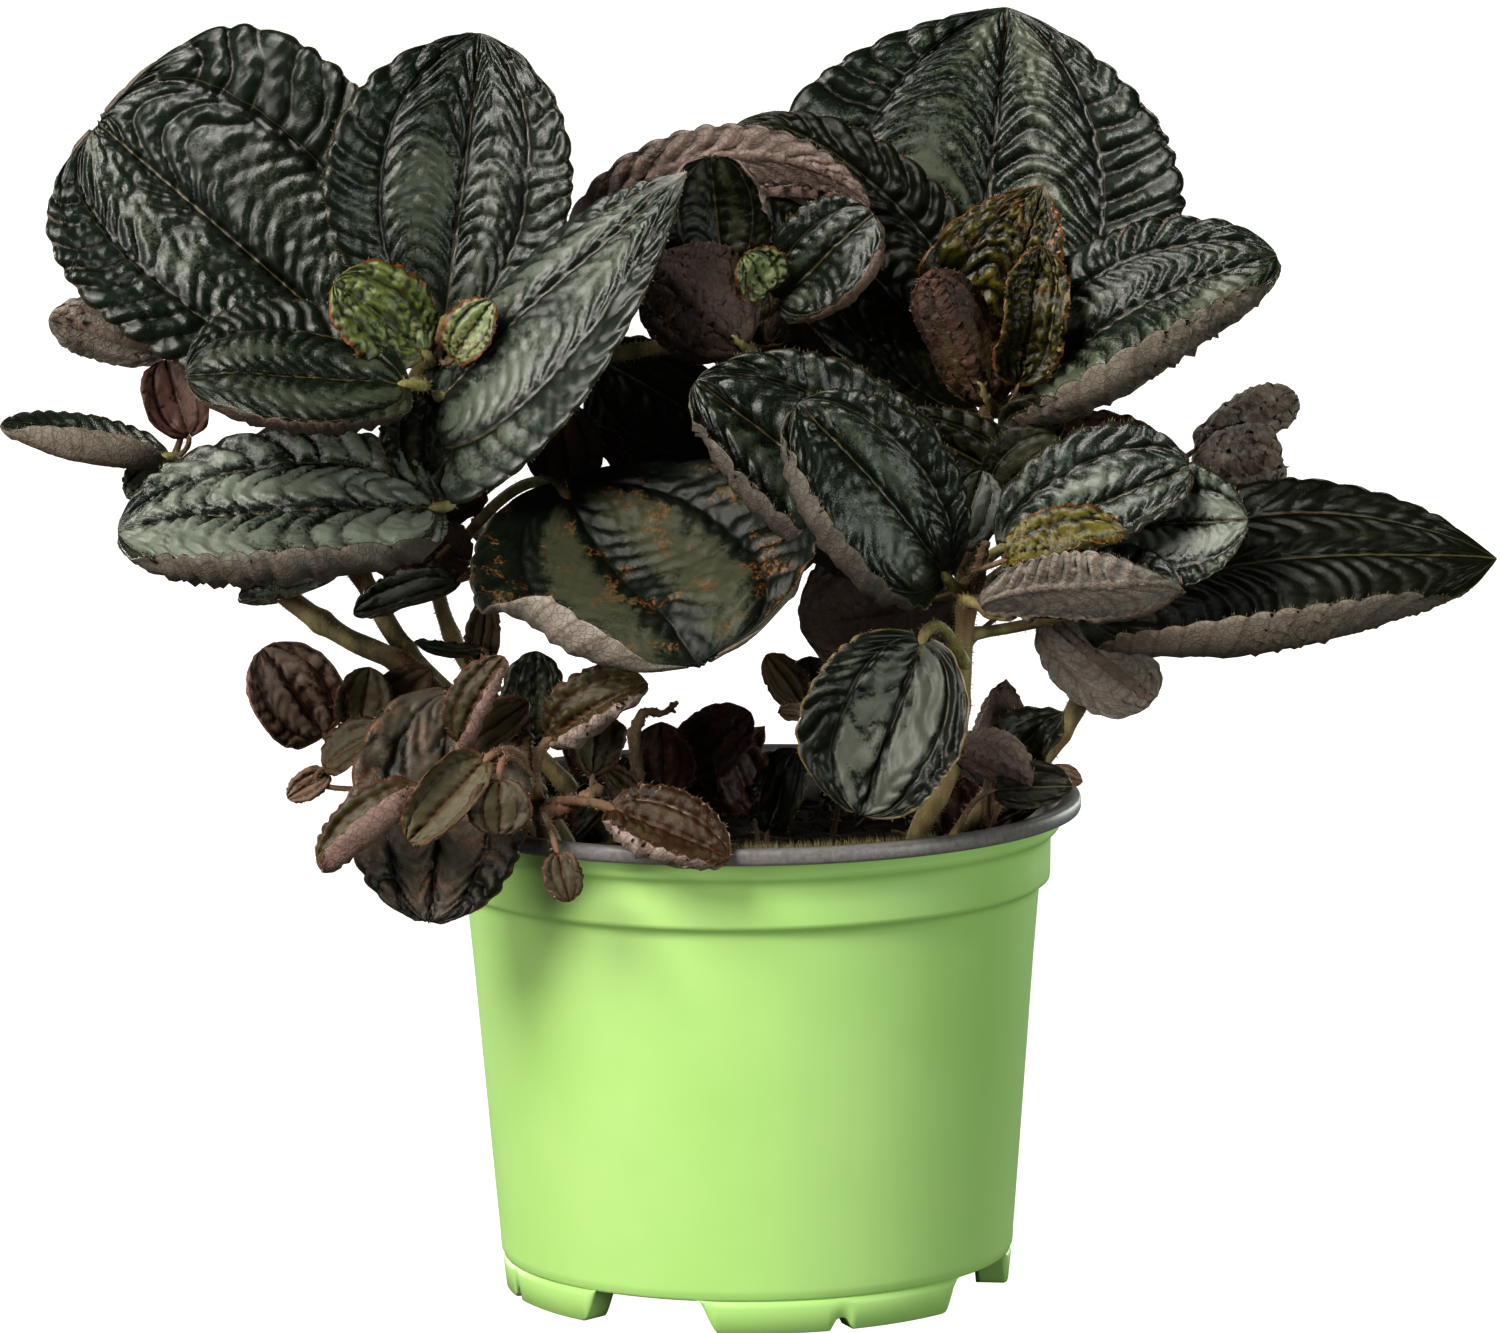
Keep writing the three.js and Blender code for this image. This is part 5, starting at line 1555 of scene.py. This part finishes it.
def vein_lines_group():
    """Masks of the thin main veins and of the ladder of cross veins between them."""
    group, given, result = new_group(
        "vein lines",
        [("Main Width", "NodeSocketFloat", 0.14), ("Rung Width", "NodeSocketFloat", 0.06)],
        [("Main", "NodeSocketFloat"), ("Rungs", "NodeSocketFloat")],
    )
    from_midrib, from_lateral, ladder = parts_of(group, "veins")
    width = times(group, given["Main Width"], scaled(group, noise(group, 700, 2.0), 1.2, 0.4))
    midrib = eased(group, calc(group, "ABSOLUTE", from_midrib), times(group, width, 1.6), width)
    thinner = times(group, width, 0.55)
    lateral = eased(group, calc(group, "ABSOLUTE", from_lateral), times(group, thinner, 1.6), thinner)
    feed(group, result["Main"], calc(group, "MAXIMUM", midrib, times(group, lateral, 0.7)))
    phase = calc(group, "FRACT", ladder)
    off = calc(group, "ABSOLUTE", minus(group, phase, 0.5))
    rung = minus(group, 0.5, off)
    feed(group, result["Rungs"], eased(group, rung, given["Rung Width"], 0.0))
    return group


def mottle_group():
    """Uneven colour at three sizes: cloudy, speckled and fine."""
    group, given, result = new_group(
        "mottle",
        [("Cloud Scale", "NodeSocketFloat", 150.0), ("Speck Scale", "NodeSocketFloat", 1400.0)],
        [("Cloud", "NodeSocketFloat"), ("Speck", "NodeSocketFloat"), ("Fine", "NodeSocketFloat")],
    )
    feed(group, result["Cloud"], noise(group, given["Cloud Scale"], 3.0))
    feed(group, result["Speck"], noise(group, given["Speck Scale"], 4.0, 0.7))
    feed(group, result["Fine"], noise(group, times(group, given["Speck Scale"], 3.0), 2.0))
    return group


def new_material(name):
    material = bpy.data.materials.new(name)
    material.use_nodes = True
    tree = material.node_tree
    tree.nodes.clear()
    shader = put(tree, "ShaderNodeBsdfPrincipled")
    end = put(tree, "ShaderNodeOutputMaterial")
    tree.links.new(shader.outputs[0], end.inputs[0])
    return material, tree, shader


def dress(tree, shader, colour, roughness, relief, depth, strength):
    """Gives the shader its colour, its roughness and a bumpy surface, that many metres deep."""
    feed(tree, shader.inputs["Base Color"], colour)
    feed(tree, shader.inputs["Roughness"], roughness)
    bump = put(tree, "ShaderNodeBump")
    feed(tree, bump.inputs["Height"], relief)
    feed(tree, bump.inputs["Distance"], depth)
    feed(tree, bump.inputs["Strength"], strength)
    feed(tree, shader.inputs["Normal"], bump.outputs["Normal"])


# ---------------------------------------------------------------- finishes

# dark green of the grooves between the quilts: partly the leaf's own colour, partly painted shade
GROOVE_GREEN_AND_SHADE = (0.0028, 0.0045, 0.0026)
VEIN_TAN = (0.075, 0.06, 0.025)
RIM_TAN = (0.035, 0.028, 0.013)
POT_GREEN = (0.375, 0.625, 0.19)
POT_GREEN_PALE = (0.415, 0.66, 0.22)
POT_SCUFF = (0.52, 0.74, 0.27)
LIP_GREY = (0.12, 0.11, 0.11)
LIP_GREY_PALE = (0.19, 0.175, 0.175)
LIP_BLEND = 0.15  # mm over which the green turns grey
CELLS_PER_METRE = 800  # of the net on the lower side of a leaf
FOOT_RUNGS = (9.0, 4.0)  # the cross veins between which the colour of a leaf's foot comes in


def upper_skin(name, body, silver, amount=1.0, gloss=0.36, patches=0.9, shine=0.5, groove_green_and_shade=GROOVE_GREEN_AND_SHADE, vein=VEIN_TAN,
               rim=RIM_TAN, spots=None, spread=0.0, rungs=0.2, main=0.14):
    """The quilted upper side: dark green in the grooves, partly its own colour and partly painted shade,
    silver on the crests, thin veins and a dry rim.

    amount is the most silver there is, patches how uneven it is, spread how many spots there are, rungs how
    strong the cross veins are, and main how broad the main ones are, in mm.
    """
    material, tree, shader = new_material(name)
    height, wanted, from_edge = parts_of(tree, "tone")
    mottle = use_group(tree, mottle_nodes)
    lines = use_group(tree, vein_nodes, Main_Width=main)
    cloudy = times(tree, minus(tree, mottle["Cloud"], 0.5), patches)
    grainy = times(tree, minus(tree, mottle["Speck"], 0.5), 1.5)
    push = plus(tree, plus(tree, wanted, cloudy), grainy)
    mask = times(tree, eased(tree, push, 0.45, 1.1), amount)
    # darker towards the grooves: partly the leaf's own dark green, partly painted shade in the hollows
    colour = mixed(tree, eased(tree, height, 0.35, 1.0), groove_green_and_shade, body)
    colour = mixed(tree, mask, colour, silver)
    colour = mixed(tree, 1.0, colour, scaled(tree, mottle["Fine"], 0.7, 0.65), "MULTIPLY")
    if spots is not None:
        near = eased(tree, mottle["Cloud"], 0.56 - spread, 0.62 - spread)
        place = times(tree, near, eased(tree, mottle["Speck"], 0.5, 0.58))
        colour = mixed(tree, times(tree, place, 0.85), colour, spots)
    colour = mixed(tree, times(tree, lines["Rungs"], rungs), colour, vein)
    colour = mixed(tree, times(tree, lines["Main"], 0.75), colour, vein)
    edge = eased(tree, plus(tree, from_edge, times(tree, mottle["Speck"], 0.5)), 0.62, 0.3)
    colour = mixed(tree, edge, colour, rim)
    feed(tree, shader.inputs["Specular IOR Level"], shine)
    rough = between(tree, mask, gloss - 0.14, gloss - 0.04)
    rough = plus(tree, rough, times(tree, mottle["Speck"], 0.1))
    relief = scaled(tree, mottle["Speck"], 0.5, mottle["Fine"])
    dress(tree, shader, colour, rough, relief, 0.0001, 0.8)
    return material


def lower_skin(name, body, shade, vein, foot=None):
    """The matt lower side: veins over a net of cells, painted shade under the crests, and another colour at
    the foot of some leaves.
    """
    material, tree, shader = new_material(name)
    height = parts_of(tree, "tone")[0]
    mottle = use_group(tree, mottle_nodes)
    lines = use_group(tree, vein_nodes, Main_Width=0.5, Rung_Width=0.16)
    cells = put(tree, "ShaderNodeTexVoronoi", feature="DISTANCE_TO_EDGE")
    feed(tree, cells.inputs["Vector"], object_place(tree))
    feed(tree, cells.inputs["Scale"], CELLS_PER_METRE)
    net = eased(tree, cells.outputs["Distance"], 0.0, 0.12)
    # darker under the crests, which are the lower side's hollows: painted shade
    colour = mixed(tree, eased(tree, height, 0.15, 0.9), body, shade)
    if foot is not None:
        ladder = parts_of(tree, "veins")[2]
        colour = mixed(tree, eased(tree, ladder, *FOOT_RUNGS), colour, foot)
    colour = mixed(tree, times(tree, minus(tree, 1.0, net), 0.5), colour, vein)
    colour = mixed(tree, times(tree, lines["Rungs"], 0.75), colour, vein)
    colour = mixed(tree, times(tree, lines["Main"], 0.8), colour, vein)
    tint = scaled(tree, mottle["Cloud"], 0.9, 0.5)
    tint = times(tree, tint, scaled(tree, mottle["Speck"], 0.6, 0.7))
    colour = mixed(tree, 1.0, colour, tint, "MULTIPLY")
    rough = scaled(tree, mottle["Speck"], 0.2, 0.55)
    relief = scaled(tree, net, -0.8, mottle["Speck"])
    dress(tree, shader, colour, rough, relief, 0.00011, 0.7)
    return material


def fibre_skin(name, dark, light, red, roughness=0.6):
    """Stems and petioles: olive with reddish patches and lengthwise streaks."""
    material, tree, shader = new_material(name)
    mottle = use_group(tree, mottle_nodes, Cloud_Scale=120.0, Speck_Scale=1600.0)
    streak = noise(tree, 260, 3.0, 0.6, (1.0, 1.0, 0.25))
    colour = mixed(tree, eased(tree, streak, 0.35, 0.65), dark, light)
    colour = mixed(tree, times(tree, eased(tree, mottle["Cloud"], 0.45, 0.65), 0.7), colour, red)
    colour = mixed(tree, 1.0, colour, scaled(tree, mottle["Speck"], 0.9, 0.55), "MULTIPLY")
    rough = scaled(tree, mottle["Speck"], 0.25, roughness - 0.12)
    dress(tree, shader, colour, rough, mottle["Speck"], 0.0002, 0.8)
    return material


def grain_skin(name, dark, light, scale, depth, roughness):
    """Crumbly or fibrous stuff: two colours by a rough noise, with relief."""
    material, tree, shader = new_material(name)
    mottle = use_group(tree, mottle_nodes, Cloud_Scale=scale, Speck_Scale=scale * 4)
    mask = plus(tree, times(tree, mottle["Cloud"], 0.6), times(tree, mottle["Speck"], 0.4))
    colour = mixed(tree, eased(tree, mask, 0.38, 0.66), dark, light)
    rough = scaled(tree, mottle["Speck"], 0.2, roughness - 0.1)
    dress(tree, shader, colour, rough, mask, depth, 1.0)
    return material


def plastic_skin():
    """The pot: satin green plastic, grey at the lip, a little cloudy, with faint scuffs."""
    material, tree, shader = new_material("pot plastic")
    place = put(tree, "ShaderNodeSeparateXYZ")
    feed(tree, place.inputs[0], object_place(tree))
    mottle = use_group(tree, mottle_nodes, Cloud_Scale=26.0, Speck_Scale=900.0)
    green = mixed(tree, eased(tree, mottle["Cloud"], 0.3, 0.7), POT_GREEN, POT_GREEN_PALE)
    scuff = noise(tree, 60, 5.0, 0.7, (1.0, 1.0, 0.12))
    green = mixed(tree, times(tree, eased(tree, scuff, 0.55, 0.75), 0.12), green, POT_SCUFF)
    lip = eased(tree, place.outputs[2], (LIP_BOTTOM - LIP_BLEND) * MM, LIP_BOTTOM * MM)
    grey = mixed(tree, eased(tree, mottle["Speck"], 0.3, 0.7), LIP_GREY, LIP_GREY_PALE)
    rough = scaled(tree, mottle["Speck"], 0.1, 0.38)
    rough = plus(tree, rough, times(tree, mottle["Cloud"], 0.08))
    relief = plus(tree, times(tree, mottle["Cloud"], 6.0), times(tree, mottle["Speck"], 0.3))
    dress(tree, shader, mixed(tree, lip, green, grey), rough, relief, 0.00006, 0.5)
    return material


vein_nodes = vein_lines_group()
mottle_nodes = mottle_group()

UPPER_LOOKS = {  # the body's colour and the silver, and what else differs from the usual
    "silver": ((0.009, 0.015, 0.009), (0.085, 0.096, 0.066), dict(amount=0.95, gloss=0.34)),
    "dark": ((0.006, 0.011, 0.006), (0.05, 0.061, 0.041), dict(amount=0.8, gloss=0.35)),
    "pale": ((0.014, 0.021, 0.015), (0.13, 0.148, 0.118), {}),
    "sage": ((0.012, 0.019, 0.012), (0.08, 0.095, 0.072), dict(gloss=0.38, patches=0.6, shine=0.6)),
    "banded": ((0.004, 0.007, 0.0035), (0.045, 0.048, 0.026), dict(
        gloss=0.5, patches=1.6, shine=0.3, vein=(0.010, 0.012, 0.006), spots=(0.16, 0.065, 0.018),
        rungs=0.0,
    )),
    "cavern": ((0.006, 0.007, 0.003), (0.04, 0.04, 0.022), dict(
        amount=0.7, gloss=0.38, shine=0.2, rungs=0.1,
    )),
    "ripple": ((0.008, 0.010, 0.006), (0.085, 0.092, 0.074), dict(
        amount=0.95, gloss=0.4, patches=2.4, shine=0.3, vein=(0.06, 0.05, 0.015),
        rim=(0.16, 0.12, 0.06), rungs=0.0,
    )),
    "rusty": ((0.012, 0.010, 0.007), (0.09, 0.076, 0.056), dict(
        amount=0.9, gloss=0.5, patches=1.4, shine=0.3, vein=(0.05, 0.035, 0.012),
        rim=(0.10, 0.05, 0.026), spots=(0.20, 0.09, 0.05), spread=0.02, rungs=0.0,
    )),
    "young": ((0.085, 0.11, 0.022), (0.22, 0.26, 0.12), dict(
        amount=0.6, gloss=0.4, groove_green_and_shade=(0.010, 0.015, 0.004), vein=(0.06, 0.06, 0.012),
        rim=(0.16, 0.05, 0.012), spots=(0.10, 0.05, 0.012), rungs=0.1,
    )),
    "amber": ((0.042, 0.036, 0.004), (0.155, 0.132, 0.022), dict(
        amount=0.6, patches=1.2, shine=0.35, groove_green_and_shade=(0.006, 0.006, 0.002), vein=(0.05, 0.035, 0.007),
        rim=(0.13, 0.06, 0.012), spots=(0.10, 0.04, 0.01), rungs=0.05,
    )),
    "moss": ((0.046, 0.035, 0.010), (0.08, 0.069, 0.034), dict(
        amount=0.9, gloss=0.5, patches=1.4, shine=0.3, groove_green_and_shade=(0.014, 0.009, 0.003),
        vein=(0.075, 0.032, 0.014), rim=(0.09, 0.037, 0.021), rungs=0.3, main=0.3,
    )),
    "olive": ((0.034, 0.025, 0.009), (0.06, 0.052, 0.027), dict(
        amount=0.85, gloss=0.5, patches=1.4, shine=0.25, groove_green_and_shade=(0.012, 0.009, 0.003),
        vein=(0.065, 0.027, 0.012), rim=(0.09, 0.037, 0.024), rungs=0.3, main=0.3,
    )),
    "bronze": ((0.036, 0.018, 0.006), (0.062, 0.047, 0.021), dict(
        amount=0.85, gloss=0.5, patches=1.4, shine=0.22, groove_green_and_shade=(0.014, 0.007, 0.003),
        vein=(0.065, 0.026, 0.009), rim=(0.11, 0.05, 0.028), rungs=0.3, main=0.3,
    )),
    "russet": ((0.07, 0.032, 0.022), (0.24, 0.18, 0.14), dict(
        amount=0.75, gloss=0.45, patches=1.4, shine=0.35, groove_green_and_shade=(0.018, 0.008, 0.005),
        vein=(0.10, 0.035, 0.02), rim=(0.22, 0.12, 0.10), rungs=0.1,
    )),
    "maroon": ((0.045, 0.015, 0.010), (0.09, 0.05, 0.04), dict(
        amount=0.7, gloss=0.5, patches=1.4, shine=0.25, groove_green_and_shade=(0.010, 0.003, 0.002),
        vein=(0.05, 0.016, 0.010), rim=(0.07, 0.03, 0.025), rungs=0.1,
    )),
    "dry": ((0.10, 0.055, 0.03), (0.18, 0.11, 0.07), dict(
        amount=0.6, gloss=0.6, groove_green_and_shade=(0.03, 0.015, 0.008), vein=(0.06, 0.03, 0.02),
        rim=(0.14, 0.08, 0.05),
    )),
}
LOWER_LOOKS = {  # the colours under the grooves, under the crests (painted shade in the lower side's hollows) and of the veins, and of the foot where it differs
    "tan": ((0.18, 0.15, 0.115), (0.12, 0.10, 0.08), (0.07, 0.045, 0.032)),
    "dun": ((0.11, 0.093, 0.073), (0.075, 0.063, 0.052), (0.045, 0.03, 0.022)),
    "mauve": ((0.27, 0.21, 0.18), (0.19, 0.145, 0.125), (0.10, 0.055, 0.045)),
    "pale": ((0.33, 0.30, 0.255), (0.245, 0.22, 0.19), (0.15, 0.10, 0.08)),
    "brown": ((0.11, 0.068, 0.05), (0.07, 0.042, 0.032), (0.045, 0.024, 0.018)),
    "pink": ((0.205, 0.132, 0.108), (0.145, 0.09, 0.075), (0.10, 0.048, 0.038)),
    "rose": ((0.36, 0.13, 0.09), (0.27, 0.08, 0.06), (0.46, 0.20, 0.12)),
    "russet": ((0.04, 0.014, 0.008), (0.018, 0.006, 0.004), (0.07, 0.02, 0.012)),
    "ember": ((0.03, 0.012, 0.006), (0.011, 0.0045, 0.0025), (0.055, 0.022, 0.012), (0.042, 0.026, 0.004)),
    "sand": ((0.27, 0.23, 0.19), (0.19, 0.165, 0.14), (0.10, 0.065, 0.048)),
    "olive": ((0.16, 0.14, 0.05), (0.11, 0.09, 0.03), (0.24, 0.18, 0.08)),
    "dry": ((0.10, 0.06, 0.04), (0.06, 0.035, 0.025), (0.14, 0.09, 0.06)),
}
SLOT_SKINS = {  # the upper skins that go by each material slot
    "leaf_silver": ("silver", "pale", "sage", "banded", "ripple"),
    "leaf_dark": ("dark", "cavern", "rusty"),
    "leaf_young": ("young", "amber", "moss", "olive"),
    "leaf_bronze": ("bronze", "russet", "maroon", "dry"),
}
upper_skins = {}
for skin, (body, silver, others) in UPPER_LOOKS.items():
    upper_skins[skin] = upper_skin("leaf " + skin, body, silver, **others)
lower_skins = {skin: lower_skin("underside " + skin, *colours) for skin, colours in LOWER_LOOKS.items()}
slots = {skin: slot for slot, skins in SLOT_SKINS.items() for skin in skins}
stem_skin = fibre_skin("stem", (0.085, 0.066, 0.026), (0.25, 0.2, 0.08), (0.2, 0.095, 0.052))
twig_skin = fibre_skin("twig", (0.085, 0.048, 0.025), (0.205, 0.135, 0.075), (0.175, 0.08, 0.05), 0.75)
petiole_skin = fibre_skin("petiole", (0.11, 0.095, 0.03), (0.29, 0.27, 0.10), (0.20, 0.11, 0.05))
moss_skin = grain_skin("moss", (0.15, 0.13, 0.045), (0.34, 0.29, 0.12), 300.0, 0.00002, 0.7)
hair_skin = grain_skin("hairs", (0.30, 0.22, 0.15), (0.5, 0.42, 0.32), 300.0, 0.00002, 0.6)
soil_skin = grain_skin("compost", (0.003, 0.002, 0.0015), (0.022, 0.014, 0.008), 260.0, 0.0006, 0.9)
perlite_skin = grain_skin("perlite", (0.35, 0.32, 0.27), (0.62, 0.6, 0.55), 500.0, 0.0002, 0.85)
straw_skin = grain_skin("straw", (0.12, 0.075, 0.035), (0.30, 0.21, 0.11), 400.0, 0.0002, 0.75)
pot_skin = plastic_skin()
lining_skin = grain_skin("pot lining", LIP_GREY, LIP_GREY_PALE, 300.0, 0.00002, 0.5)

# ---------------------------------------------------------------- the plant and its pot


def make_plant():
    """The stems, leaves and twigs, and last the hairs of them all."""
    hairs = Hairs()
    for number, (name, (radius, points)) in enumerate(STEMS.items()):
        make_stem(name, radius, points, number, hairs)
    for number, (name, description) in enumerate(LEAVES.items()):
        make_leaf(name + "_blade", description, number, hairs, [name])
    for number, (name, description) in enumerate(SMALL_LEAVES.items()):
        make_leaf(name, description, 200 + number, hairs)
    make_low_leaves(hairs)
    for number, (name, (points, radii, crumbs)) in enumerate(TWIGS.items()):
        make_twig(name, points, radii, crumbs, number, hairs)
    hairs.finish("plant_hairs", hair_skin, "stem")


make_pot()
make_soil()
make_plant()

# ---------------------------------------------------------------- stage

FLOOR_SIZE = 8.0
FLOOR_GREY = (0.06, 0.06, 0.06)
FLOOR_GLOW = (0.92, 1.0)  # of the floor as the camera sees it, at the pot and far from it
GLOW_RADII = (0.3, 0.9)  # metres, over which the floor fades into the white round it
ROOM_LIGHT = 0.02
WHITE = (1.0, 1.0, 1.0)
WARM = (1.0, 0.97, 0.91)
COOL = (0.93, 1.0, 0.93)
LIGHTS = [  # name, place, size, power and colour
    ("key", (-0.68, -0.9, 1.0), (0.6, 0.6), 23, WARM),
    ("left", (-1.1, -0.75, 0.3), (0.6, 0.6), 8.5, WARM),
    ("fill", (1.0, -0.8, 0.16), (0.5, 0.4), 7.3, COOL),
    ("left edge", (-0.95, 1.25, 0.2), (0.5, 0.5), 9, COOL),
    ("right edge", (0.95, 1.25, 0.2), (0.5, 0.5), 9, COOL),
    ("top", (-0.45, -0.1, 1.35), (0.5, 0.3), 6, WARM),
    ("back", (0.4, 1.2, 0.8), (0.5, 0.4), 1.5, WARM),
]
AIM = Vector((0.0, 0.0, 0.12))


def make_light(name, place, size, power, colour):
    """A rectangular light that looks at the plant."""
    data = bpy.data.lights.new(name, "AREA")
    data.shape = "RECTANGLE"
    data.size, data.size_y = size
    data.energy = power
    data.color = colour
    light = bpy.data.objects.new(name, data)
    bpy.context.scene.collection.objects.link(light)
    light.location = place
    light.rotation_euler = (Vector(place) - AIM).to_track_quat("Z", "Y").to_euler()


def floor_skin():
    """Grey to the light, white to the camera."""
    material, tree, shader = new_material("floor")
    feed(tree, shader.inputs["Base Color"], FLOOR_GREY)
    feed(tree, shader.inputs["Roughness"], 0.9)
    feed(tree, shader.inputs["Emission Color"], WHITE)
    place = put(tree, "ShaderNodeVectorMath", operation="LENGTH")
    feed(tree, place.inputs[0], object_place(tree))
    spread = eased(tree, place.outputs["Value"], *GLOW_RADII)
    seen = put(tree, "ShaderNodeLightPath").outputs["Is Camera Ray"]
    feed(tree, shader.inputs["Emission Strength"], times(tree, seen, between(tree, spread, *FLOOR_GLOW)))
    return material


def make_floor():
    mesh = bpy.data.meshes.new("floor")
    half = FLOOR_SIZE / 2
    corners = [(-half, -half, 0), (half, -half, 0), (half, half, 0), (-half, half, 0)]
    mesh.from_pydata(corners, [], [(0, 1, 2, 3)])
    floor = bpy.data.objects.new("floor", mesh)
    bpy.context.scene.collection.objects.link(floor)
    mesh.materials.append(floor_skin())


def make_surroundings():
    """White to the camera, and a faint light on the plant from all round."""
    world = bpy.data.worlds.new("world")
    bpy.context.scene.world = world
    world.use_nodes = True
    tree = world.node_tree
    glow = tree.nodes["Background"]
    feed(tree, glow.inputs["Color"], WHITE)
    seen = put(tree, "ShaderNodeLightPath").outputs["Is Camera Ray"]
    feed(tree, glow.inputs["Strength"], between(tree, seen, ROOM_LIGHT, 1.0))


def make_stage():
    make_floor()
    make_surroundings()
    for light in LIGHTS:
        make_light(*light)
    view = bpy.context.scene.view_settings
    view.view_transform = "Standard"
    view.look = "Medium High Contrast"


make_stage()
make_camera()
